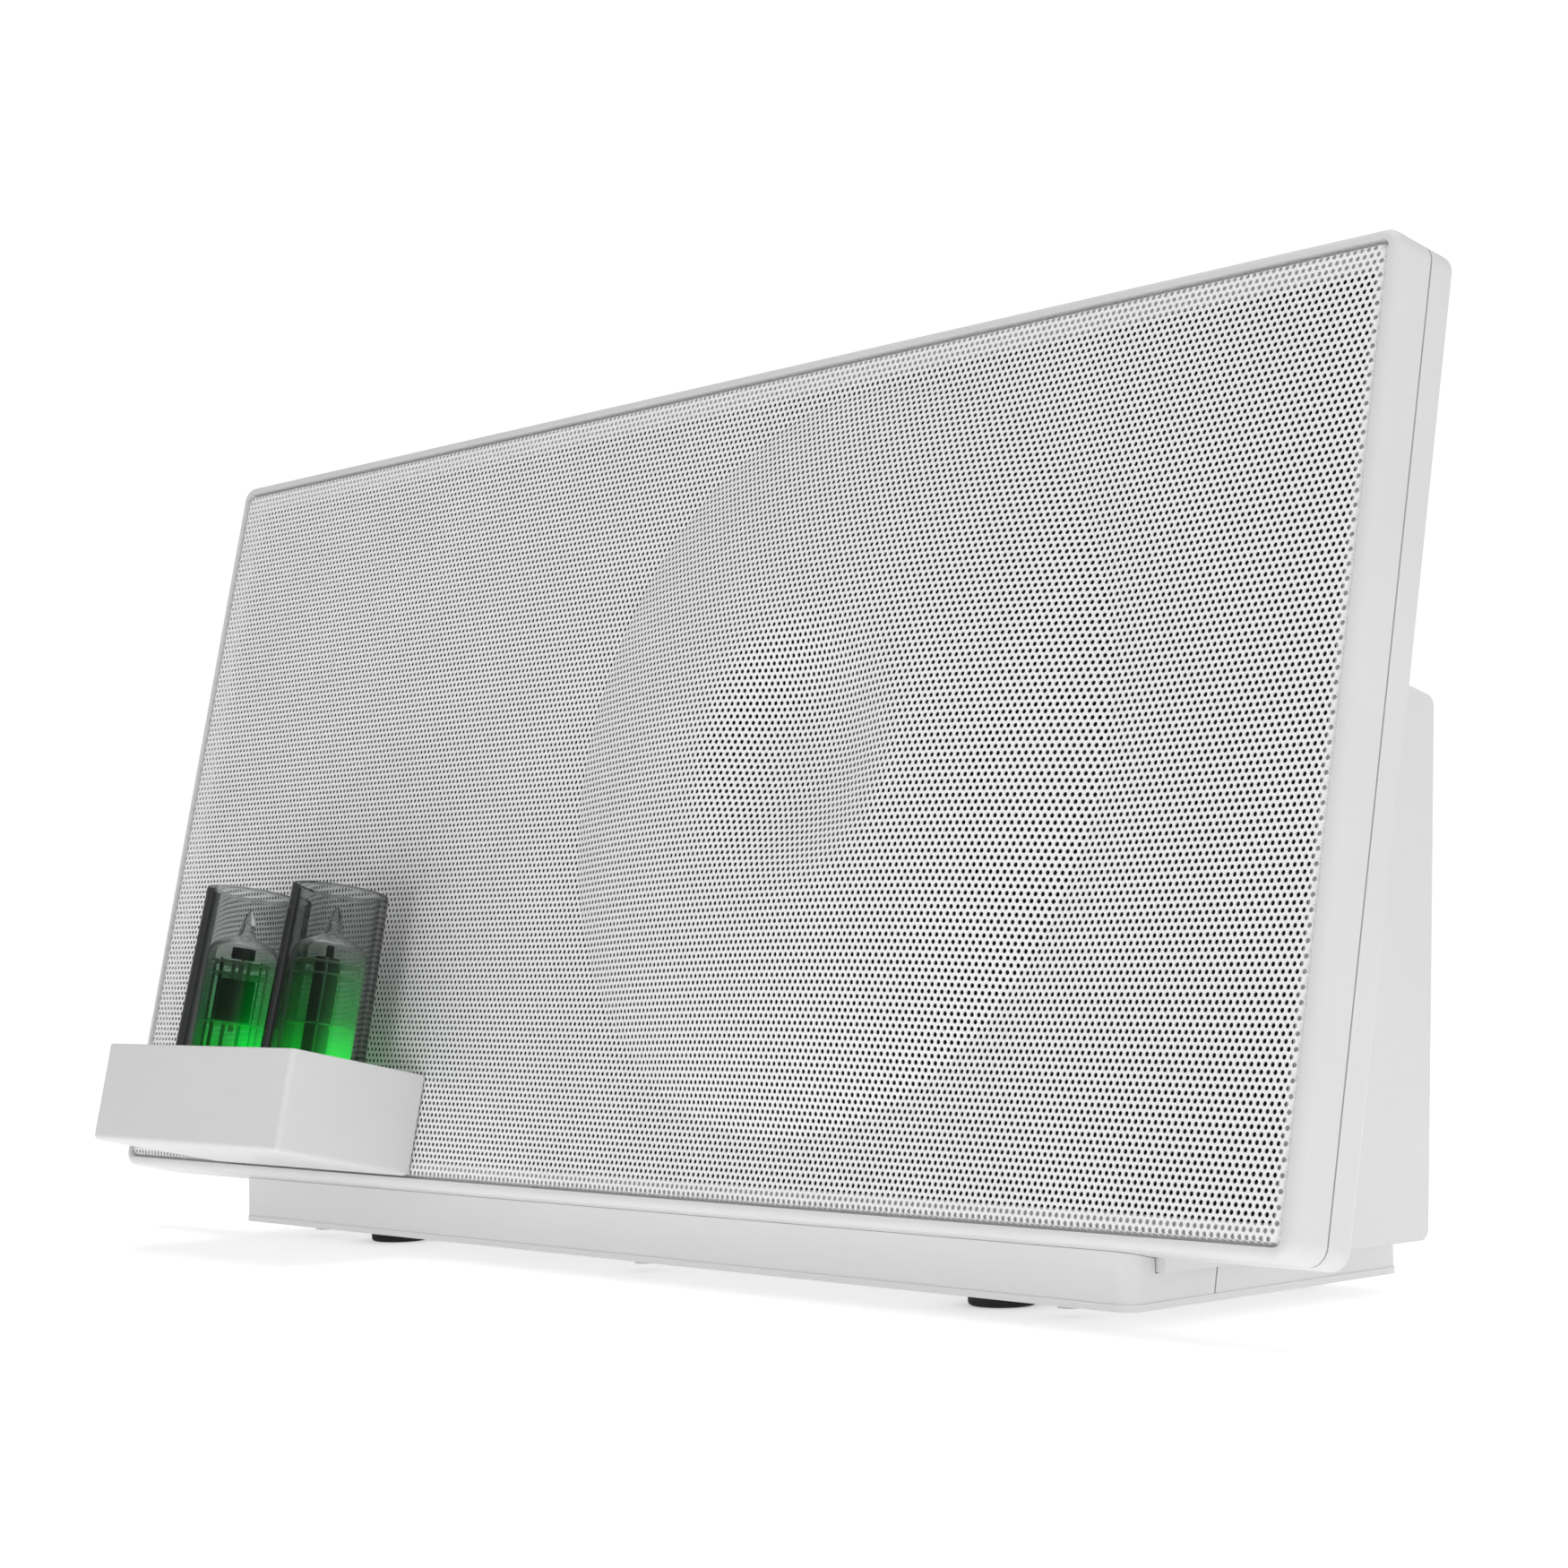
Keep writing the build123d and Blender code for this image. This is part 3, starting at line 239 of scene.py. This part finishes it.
def fade_up(tree, stops):
    """A value or colour that follows height up the panel, given as (height, value) stops."""
    coords = tree.nodes.new("ShaderNodeTexCoord")
    height = tree.nodes.new("ShaderNodeVectorMath")
    height.operation = "DOT_PRODUCT"
    height.inputs[1].default_value = PANEL_UP
    tree.links.new(coords.outputs["Object"], height.inputs[0])
    start = PANEL_ORIGIN.dot(PANEL_UP)
    low, high = stops[0][0], stops[-1][0]
    span = tree.nodes.new("ShaderNodeMapRange")
    span.inputs["From Min"].default_value = start + low
    span.inputs["From Max"].default_value = start + high
    tree.links.new(height.outputs["Value"], span.inputs["Value"])
    ramp = tree.nodes.new("ShaderNodeValToRGB")
    steps = ramp.color_ramp.elements
    while len(steps) < len(stops):
        steps.new(0.5)
    for step, (at, value) in zip(steps, stops):
        step.position = (at - low) / (high - low)
        step.color = (*value, 1.0) if isinstance(value, tuple) else (value, value, value, 1.0)
    tree.links.new(span.outputs["Result"], ramp.inputs["Fac"])
    return ramp.outputs["Color"]


def paint_green_glow(material, stops, behind=None):
    """Paints the lamps' green light on as the surface's own glow, which fades with height; the surface is no lamp.

    With behind, it comes in at that depth into the panel and is full a little deeper.
    """
    tree = material.node_tree
    shader = tree.nodes["Principled BSDF"]
    shader.inputs["Emission Color"].default_value = (*GREEN, 1.0)
    light = fade_up(tree, stops)
    if behind is not None:
        coords = tree.nodes.new("ShaderNodeTexCoord")
        depth = tree.nodes.new("ShaderNodeVectorMath")
        depth.operation = "DOT_PRODUCT"
        depth.inputs[1].default_value = PANEL_IN
        back = tree.nodes.new("ShaderNodeMapRange")
        back.inputs["From Min"].default_value = PANEL_ORIGIN.dot(PANEL_IN) + behind
        back.inputs["From Max"].default_value = PANEL_ORIGIN.dot(PANEL_IN) + behind + GLOW_BLEND
        back.inputs["To Min"].default_value = GLOW_FRONT
        both = tree.nodes.new("ShaderNodeMath")
        both.operation = "MULTIPLY"
        tree.links.new(coords.outputs["Object"], depth.inputs[0])
        tree.links.new(depth.outputs["Value"], back.inputs["Value"])
        tree.links.new(light, both.inputs[0])
        tree.links.new(back.outputs["Result"], both.inputs[1])
        light = both.outputs["Value"]
    tree.links.new(light, shader.inputs["Emission Strength"])
    return material


def glass(name, color, ior, smear=0.05, smoke=0.0, edge=None):
    """Clear glass with faint smears in its gloss.

    Smoke darkens it with depth, and edge is a painted shade that it turns to where it is seen side on.
    """
    material, tree, shader = new_material(name)
    shader.inputs["Transmission Weight"].default_value = 1.0
    shader.inputs["IOR"].default_value = ior
    wide = noise(tree, 60.0)
    dark = tuple(channel * SMEAR_SHADE for channel in color)
    tint = two_tones(tree, wide.outputs["Fac"], dark, color)
    tree.links.new(spread(tree, wide.outputs["Fac"], 0.0, smear), shader.inputs["Roughness"])
    # painted shade: darker where the glass is seen side on, standing in for the dark rims that thick glass shows
    # by refraction
    if edge:
        facing = tree.nodes.new("ShaderNodeLayerWeight")
        facing.inputs["Blend"].default_value = 0.5
        turn = tree.nodes.new("ShaderNodeMapRange")
        turn.interpolation_type = "SMOOTHSTEP"
        turn.inputs["From Min"].default_value = EDGE_SHADE_FROM
        turn.inputs["From Max"].default_value = EDGE_SHADE_TO
        rim = tree.nodes.new("ShaderNodeMix")
        rim.data_type = "RGBA"
        rim.inputs["B"].default_value = (*edge, 1.0)
        tree.links.new(facing.outputs["Facing"], turn.inputs["Value"])
        tree.links.new(turn.outputs["Result"], rim.inputs["Factor"])
        tree.links.new(tint, rim.inputs["A"])
        tint = rim.outputs["Result"]
    tree.links.new(tint, shader.inputs["Base Color"])
    if smoke:
        depth = tree.nodes.new("ShaderNodeVolumeAbsorption")
        depth.inputs["Color"].default_value = (*SMOKE_COLOR, 1.0)
        depth.inputs["Density"].default_value = smoke
        tree.links.new(depth.outputs["Volume"], tree.nodes["Material Output"].inputs["Volume"])
    return material


def glow(name, color, strength):
    """A lit lens, uneven in brightness."""
    material, tree, shader = new_material(name)
    wide = noise(tree, 400.0)
    shader.inputs["Emission Strength"].default_value = strength
    dark = tuple(channel * LENS_SHADE for channel in color)
    bright = two_tones(tree, wide.outputs["Fac"], dark, color)
    tree.links.new(bright, shader.inputs["Base Color"])
    tree.links.new(bright, shader.inputs["Emission Color"])
    shader.inputs["Roughness"].default_value = 0.3
    return material


MATERIALS = {
    "white_moulding": surface("white_moulding", (0.71, 0.71, 0.713), 0.40, vary=0.012,
                              cloud=25.0, grain=2600.0, grain_depth=1.2e-5),
    "white_grille": surface("white_grille", (0.90, 0.90, 0.903), 0.38, vary=0.012,
                            cloud=40.0, grain=1800.0, grain_depth=1.5e-5),
    "black_board": surface("black_board", (0.012, 0.012, 0.013), 0.8, vary=0.3,
                           cloud=80.0, grain=700.0),
    "black_metal": surface("black_metal", (0.02, 0.02, 0.022), 0.45, vary=0.15,
                           grain=2200.0, grain_depth=2.5e-5),
    "magnet_iron": surface("magnet_iron", (0.15, 0.15, 0.16), 0.5, metal=0.7, vary=0.2),
    "paper_cone": surface("paper_cone", (0.03, 0.03, 0.03), 0.85, vary=0.3,
                          cloud=300.0, grain=900.0, grain_depth=8e-5),
    "black_rubber": surface("black_rubber", (0.012, 0.012, 0.013), 0.9, vary=0.2, grain=1200.0),
    "spider_cloth": surface("spider_cloth", (0.5, 0.28, 0.08), 0.9, vary=0.2,
                            grain=2500.0, grain_depth=6e-5),
    "circuit_board": surface("circuit_board", (0.01, 0.10, 0.035), 0.35, vary=0.25, cloud=120.0),
    "aluminium": surface("aluminium", (0.72, 0.73, 0.75), 0.35, metal=1.0, vary=0.06,
                         stretch=(0.05, 1.0, 1.0)),
    "steel": surface("steel", (0.58, 0.58, 0.57), 0.32, metal=1.0, vary=0.08),
    "black_plastic": surface("black_plastic", (0.02, 0.02, 0.021), 0.42, vary=0.15,
                             grain=2000.0, grain_depth=2.5e-5),
    "brass": surface("brass", (0.78, 0.60, 0.28), 0.28, metal=1.0, vary=0.08),
    "anode_black": surface("anode_black", (0.03, 0.03, 0.032), 0.55, metal=0.3, vary=0.3,
                           cloud=200.0),
    "socket_ceramic": surface("socket_ceramic", (0.78, 0.77, 0.73), 0.35, vary=0.04, cloud=200.0),
    # the chimneys' dark rims are painted shade, given by edge
    "chimney_glass": glass("chimney_glass", (0.97, 0.98, 0.975), 1.46, 0.03, smoke=190.0,
                           edge=(0.02, 0.025, 0.022)),
    "tube_glass": glass("tube_glass", (0.97, 0.99, 0.98), 1.47, 0.02),
    "mica": surface("mica", (0.80, 0.77, 0.68), 0.3, vary=0.1, cloud=400.0),
    "lamp_green": glow("lamp_green", GREEN, 6.0),
}
# heights up the panel: the tubes' colour with the lamps' green light painted into it, and the strength of the
# painted green glow there
PAINTED_GREEN_LIGHT_TINTS = [(0.030, (0.15, 0.62, 0.24)), (0.040, (0.34, 0.72, 0.46)),
               (0.054, (0.58, 0.80, 0.67)), (0.062, (0.97, 0.99, 0.98))]
PAINTED_GREEN_GLOW = [(0.030, 0.40), (0.036, 0.28), (0.043, 0.08), (0.055, 0.035), (0.062, 0.0)]
# the sockets' painted green glow, its strength by height
PAINTED_SOCKET_GLOW = [(0.015, 0.4), (0.026, 1.0)]
GLOW_AHEAD = 0.006                    # the painted glow starts this far in front of a tube's axis
tube_tree = MATERIALS["tube_glass"].node_tree
tube_shader = tube_tree.nodes["Principled BSDF"]
# the bulbs' glass is coloured green low down: painted green light from the lamps below
tube_tree.links.new(fade_up(tube_tree, PAINTED_GREEN_LIGHT_TINTS), tube_shader.inputs["Base Color"])
# painted green glow: the bulbs' glass and the sockets shine with the lamps' light though they are no lamps
paint_green_glow(MATERIALS["tube_glass"], PAINTED_GREEN_GLOW, behind=TUBE_IN - GLOW_AHEAD)
paint_green_glow(MATERIALS["socket_ceramic"], PAINTED_SOCKET_GLOW)


def dress_cad():
    """Gives every CAD node the detailed material of its slot."""
    slots = {part["node"]: part["material_slot"] for part in frame["record"]["subparts"]}
    for node, piece in frame["nodes"].items():
        for index in range(max(1, len(piece.material_slots))):
            if piece.material_slots:
                piece.material_slots[index].link = "OBJECT"
                piece.material_slots[index].material = MATERIALS[slots[node]]


# ---- mesh helpers ----------------------------------------------------------------------------
POLE_R = 1e-9                         # a smaller radius is a pole


def add_mesh(name, points, faces, slot, body, node=None, matrix=Matrix.Identity(4), smooth=False):
    """A mesh piece that rides on a body and may stand for a CAD node."""
    mesh = bpy.data.meshes.new(name)
    mesh.from_pydata([matrix @ Vector(p) for p in points], [], faces)
    mesh.polygons.foreach_set("use_smooth", [smooth] * len(mesh.polygons))
    mesh.materials.append(MATERIALS[slot])
    mesh.update()
    piece = bpy.data.objects.new(name, mesh)
    bpy.context.collection.objects.link(piece)
    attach(piece, body)
    if node:
        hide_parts(node)
    return piece


def lathe(outline, steps=96):
    """Points and faces of a closed (radius, height) outline turned about Z; radius 0 is a pole."""
    points = []
    rings = []
    for radius, height in outline:
        if radius < POLE_R:
            rings.append([len(points)])
            points.append((0.0, 0.0, height))
            continue
        rings.append(list(range(len(points), len(points) + steps)))
        for i in range(steps):
            angle = 2 * math.pi * i / steps
            points.append((radius * math.cos(angle), radius * math.sin(angle), height))
    faces = []
    closed = outline[0][0] > POLE_R and outline[-1][0] > POLE_R
    pairs = list(zip(rings, rings[1:])) + ([(rings[-1], rings[0])] if closed else [])
    for low, high in pairs:
        for i in range(steps):
            j = (i + 1) % steps
            if len(low) == 1:
                faces.append((low[0], high[j], high[i]))
            elif len(high) == 1:
                faces.append((low[i], low[j], high[0]))
            else:
                faces.append((low[i], low[j], high[j], high[i]))
    return points, faces


def rounded(outline, cuts=4):
    """An open outline smoothed by repeated corner cutting, its ends kept."""
    for _ in range(cuts):
        finer = [outline[0]]
        for (r0, z0), (r1, z1) in zip(outline, outline[1:]):
            finer.append((0.75 * r0 + 0.25 * r1, 0.75 * z0 + 0.25 * z1))
            finer.append((0.25 * r0 + 0.75 * r1, 0.25 * z0 + 0.75 * z1))
        outline = finer + [outline[-1]]
    return outline


# ---- perforated grille -----------------------------------------------------------------------
PITCH = 0.00185
HOLE_R = 0.00058
HOLE_SIDES = 12
SHEET_FRONT = 0.0003
SHEET_T = 0.00025
SHEET_CORNER = 0.0020
FOLD_R = 0.0012
TILES = 14
DOME_X = 0.0690
DOME_UP = 0.1133
DOME_R = 0.0945
CREST_R = 0.0370
CREST_RISE = 0.0099
FLOOR_RISE = 0.0032
SHEET_HALF_W = PANEL_W / 2 - RIM - GRILLE_GAP
SHEET_HALF_H = PANEL_H / 2 - RIM - GRILLE_GAP
EDGE_LAND = 0.00015                   # least sheet left between a hole and the outline
CELL_OVERHANG = 0.25                  # cells this share of a pitch past the outline are kept
CORNER_STEPS = ((1, 1), (0, 2), (-1, 1), (-1, -1), (0, -2), (1, -1))
KEY_BASE = 100000                     # packs a corner's two lattice coordinates into one number
MERGE = 1e-7
WINDOW_MARGIN = 0.006                 # the tray covers the sheet's window by this much all round
TRAY_BOTTOM = 0.003
TRAY_HEIGHT = 0.028


def dome_rise(radius):
    """Height of the embossed ring: a falling outer flank and a dished middle."""
    flank = np.clip((radius - CREST_R) / (DOME_R - CREST_R), 0.0, 1.0)
    inside = np.clip(radius / CREST_R, 0.0, 1.0)
    dish = (inside * inside * (3 - 2 * inside)) ** 1.5
    outer = CREST_RISE * (1 - flank ** 1.5)
    return np.where(radius > CREST_R, outer, FLOOR_RISE + (CREST_RISE - FLOOR_RISE) * dish)


def edge_distance(x, z):
    """Signed distance to the sheet's round-cornered outline, negative inside, and its direction."""
    qx = np.abs(x) - (SHEET_HALF_W - SHEET_CORNER)
    qz = np.abs(z) - (SHEET_HALF_H - SHEET_CORNER)
    px, pz = np.maximum(qx, 0), np.maximum(qz, 0)
    length = np.hypot(px, pz)
    distance = length + np.minimum(np.maximum(qx, qz), 0) - SHEET_CORNER
    safe = np.where(length > 1e-12, length, 1.0)
    out_x = np.where(length > 1e-12, px / safe, (qx > qz).astype(float)) * np.sign(x)
    out_z = np.where(length > 1e-12, pz / safe, (qx <= qz).astype(float)) * np.sign(z)
    return distance, out_x, out_z


def sheet_points(x, z, depth):
    """Panel-frame points of the formed sheet; depth 0 is its front and SHEET_T its back."""
    distance, out_x, out_z = edge_distance(x, z)
    outside = np.maximum(distance, 0)
    x = x - outside * out_x
    z = z - outside * out_z
    inset = np.clip(-np.minimum(distance, 0), 0, FOLD_R)
    fold = FOLD_R - np.sqrt(np.maximum(FOLD_R ** 2 - (FOLD_R - inset) ** 2, 0))
    radius = np.hypot(x - DOME_X, z + PANEL_H / 2 - DOME_UP)
    y = SHEET_FRONT + fold - np.where(radius < DOME_R, dome_rise(radius), 0) + depth
    return np.stack([x, y, z + PANEL_H / 2], axis=1)


def grille_cells(window):
    """Centres of the lattice cells outside the window, and which of them have a hole.

    A centre is in half pitches across and thirds of a row up.
    """
    columns = int(SHEET_HALF_W / PITCH) + 2
    rows = int(SHEET_HALF_H / (PITCH * math.sqrt(3) / 2)) + 2
    j = np.repeat(np.arange(-rows, rows + 1), 2 * columns + 1)
    i = np.tile(np.arange(-columns, columns + 1), 2 * rows + 1)
    cx = 2 * i + (j % 2)
    cz = 3 * j
    x = cx * PITCH / 2
    z = cz * PITCH / (2 * math.sqrt(3))
    distance = edge_distance(x, z)[0]
    low_x, high_x, low_z, high_z = window
    in_window = (x > low_x) & (x < high_x) & (z > low_z) & (z < high_z)
    keep = (distance < CELL_OVERHANG * PITCH) & ~in_window
    holed = distance < -(HOLE_R + EDGE_LAND)
    return cx[keep], cz[keep], holed[keep]


def grille_tile(name, cx, cz, holed):
    """One closed stretch of the perforated sheet."""
    keys = np.array([[(a + dx) * KEY_BASE + (b + dz) for dx, dz in CORNER_STEPS]
                     for a, b in zip(cx, cz)])
    unique, index = np.unique(keys, return_inverse=True)
    index = index.reshape(-1, 6)
    kx = np.round(unique / KEY_BASE)
    corner_x = kx * PITCH / 2
    corner_z = (unique - kx * KEY_BASE) * PITCH / (2 * math.sqrt(3))
    corners = len(unique)
    holes = np.flatnonzero(holed)
    turns = np.arange(HOLE_SIDES) * 2 * math.pi / HOLE_SIDES
    hole_x = (cx[holes, None] * PITCH / 2 + HOLE_R * np.cos(turns)).ravel()
    hole_z = (cz[holes, None] * PITCH / (2 * math.sqrt(3)) + HOLE_R * np.sin(turns)).ravel()
    x = np.concatenate([corner_x, hole_x])
    z = np.concatenate([corner_z, hole_z])
    points = np.concatenate([sheet_points(x, z, 0.0), sheet_points(x, z, SHEET_T)])
    back = len(x)
    faces = []
    for cell in np.flatnonzero(~holed):
        ring = index[cell].tolist()
        faces.append(tuple(ring))
        faces.append(tuple(back + v for v in reversed(ring)))
    for order, cell in enumerate(holes):
        ring = index[cell].tolist()
        start = corners + order * HOLE_SIDES
        for s in range(6):
            inner = [start + (2 * s + k) % HOLE_SIDES for k in (1, 2, 3)]
            face = (inner[0], ring[s], ring[(s + 1) % 6], inner[2], inner[1])
            faces.append(face)
            faces.append(tuple(back + v for v in reversed(face)))
        for k in range(HOLE_SIDES):
            a = start + k
            b = start + (k + 1) % HOLE_SIDES
            faces.append((a, b, back + b, back + a))
    rim = {}
    for ring in index.tolist():
        for a, b in zip(ring, ring[1:] + ring[:1]):
            if (b, a) in rim:
                del rim[(b, a)]
            else:
                rim[(a, b)] = True
    faces += [(a, back + a, back + b, b) for a, b in rim]
    mesh = bpy.data.meshes.new(name)
    mesh.from_pydata(points.tolist(), [], faces)
    mesh.transform(PANEL_MATRIX)
    mesh.materials.append(MATERIALS["white_grille"])
    tidy = bmesh.new()
    tidy.from_mesh(mesh)
    bmesh.ops.remove_doubles(tidy, verts=tidy.verts, dist=MERGE)
    bmesh.ops.dissolve_degenerate(tidy, edges=tidy.edges, dist=MERGE)
    tidy.to_mesh(mesh)
    tidy.free()
    piece = bpy.data.objects.new(name, mesh)
    bpy.context.collection.objects.link(piece)
    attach(piece, "root")
    return piece


def make_grille():
    """The whole perforated sheet, in upright stretches that meet edge to edge."""
    tray_low, tray_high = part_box("tray_shell")
    window = (tray_low[0] + WINDOW_MARGIN, tray_high[0] - WINDOW_MARGIN,
              TRAY_BOTTOM + WINDOW_MARGIN - PANEL_H / 2,
              TRAY_BOTTOM + TRAY_HEIGHT - WINDOW_MARGIN - PANEL_H / 2)
    cx, cz, holed = grille_cells(window)
    across = (cx * PITCH / 2 + SHEET_HALF_W) / (2 * SHEET_HALF_W)
    tile = np.clip((across * TILES).astype(int), 0, TILES - 1)
    pieces = [grille_tile(f"grille_{n + 1:02d}", cx[tile == n], cz[tile == n], holed[tile == n])
              for n in range(TILES)]
    for piece in pieces:
        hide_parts("grille")


# ---- tubes and chimneys ----------------------------------------------------------------------
SIDES = ("left", "right")
NARROWEST_INNER = 0.0006              # no room for a bore where it would be narrower than this
TIP_SOLID_FROM = 0.0700               # the drawn-off tip is solid glass above this height


def tube_matrix(side):
    """Places a piece drawn about a tube's axis, with heights up the panel."""
    low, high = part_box(f"tube_{side}_envelope")
    return PANEL_MATRIX @ Matrix.Translation(((low[0] + high[0]) / 2 - PANEL_ORIGIN.x, TUBE_IN, 0))


def make_chimney(side):
    """Tapered smoked chimney with a softly rounded rim."""
    foot, top = 0.0299, 0.0794
    r0, r1, wall, rim = 0.0147, 0.0136, 0.0019, 0.0009
    outer = [(r0, foot), (r0 + (r1 - r0) * 0.5, (foot + top) / 2), (r1, top - 2 * rim), (r1, top),
             (r1 - wall / 2, top)]
    inner = [(r1 - wall / 2, top), (r1 - wall, top), (r1 - wall, top - 2 * rim), (r0 - wall, foot)]
    outline = rounded(outer, 3) + rounded(inner, 3)[1:]
    points, faces = lathe(outline, 128)
    add_mesh(f"chimney_{side}", points, faces, "chimney_glass", f"chimney_{side}",
             f"tube_{side}_chimney", tube_matrix(side), smooth=True)


def inset(outline, wall):
    """The outline moved inward by the wall, dropped where there is no room for it."""
    moved = []
    for (r0, z0), (r1, z1), (r2, z2) in zip(outline, outline[1:], outline[2:]):
        along_r, along_z = r2 - r0, z2 - z0
        length = math.hypot(along_r, along_z)
        radius, height = r1 - wall * along_z / length, z1 + wall * along_r / length
        if radius > NARROWEST_INNER:
            moved.append((radius, height))
    return moved


def make_envelope(side):
    """Glass bulb with a drawn-off tip, hollow inside."""
    seat, radius, wall = 0.0255, 0.01045, 0.0008
    outline = [(0, seat), (0.0090, seat), (radius, seat + 0.0004), (radius, seat + 0.0030),
               (radius, 0.0590), (radius, 0.0612), (0.0094, 0.0633), (0.0068, 0.0648),
               (0.0044, 0.0658), (0.0027, 0.0666), (0.0022, 0.0678), (0.0020, 0.0695),
               (0.0017, 0.0712), (0.0009, 0.0732), (0.0004, 0.0743), (0, 0.0745)]
    outer = rounded(outline, 3)
    floor_zone, floor_extra = 0.002, 0.0014
    inner = [(0, seat + 2.75 * wall)]
    inner += [(r, z + floor_extra if z < seat + floor_zone else z) for r, z in inset(outer, wall)]
    inner = [(r, z) for r, z in inner if z < TIP_SOLID_FROM]
    inner.append((0, inner[-1][1]))
    points, faces = lathe(outer, 96)
    more_points, more_faces = lathe(inner, 96)
    faces += [tuple(len(points) + v for v in reversed(face)) for face in more_faces]
    add_mesh(f"bulb_{side}", points + more_points, faces, "tube_glass", f"tube_{side}",
             f"tube_{side}_envelope", tube_matrix(side), smooth=True)


# ---- floor -----------------------------------------------------------------------------------
FLOOR_HALF = 1.7
FLOOR_LIGHT = 0.38                    # the floor's own light, which keeps it white


def make_floor():
    """Pale floor that the feet stand on."""
    half = FLOOR_HALF
    corners = [(-half, -half, 0), (half, -half, 0), (half, half, 0), (-half, half, 0)]
    mesh = bpy.data.meshes.new("floor")
    mesh.from_pydata(corners, [], [(0, 1, 2, 3)])
    finish = surface("floor_white", (0.92, 0.92, 0.92), 0.8, vary=0.005, cloud=3.0, grain=400.0)
    shader = finish.node_tree.nodes["Principled BSDF"]
    shader.inputs["Emission Color"].default_value = (1.0, 1.0, 1.0, 1.0)
    shader.inputs["Emission Strength"].default_value = FLOOR_LIGHT
    mesh.materials.append(finish)
    floor = bpy.data.objects.new("floor", mesh)
    bpy.context.collection.objects.link(floor)


make_camera()
make_world()
area_light("overhead", (-0.2, 0.2, 2.6), (0, 0, 0), 2.6, 34.0, mirrored=True)
area_light("low_front", (0.25, -1.0, 0.04), (0.05, 0.0, 0.0), 0.3, 2.2)
area_light("low_side", (1.2, -0.5, 0.08), (-0.1, 0.0, 0.0), 0.4, 1.6)
dress_cad()
make_grille()
for tube_side in SIDES:
    make_chimney(tube_side)
    make_envelope(tube_side)
make_floor()
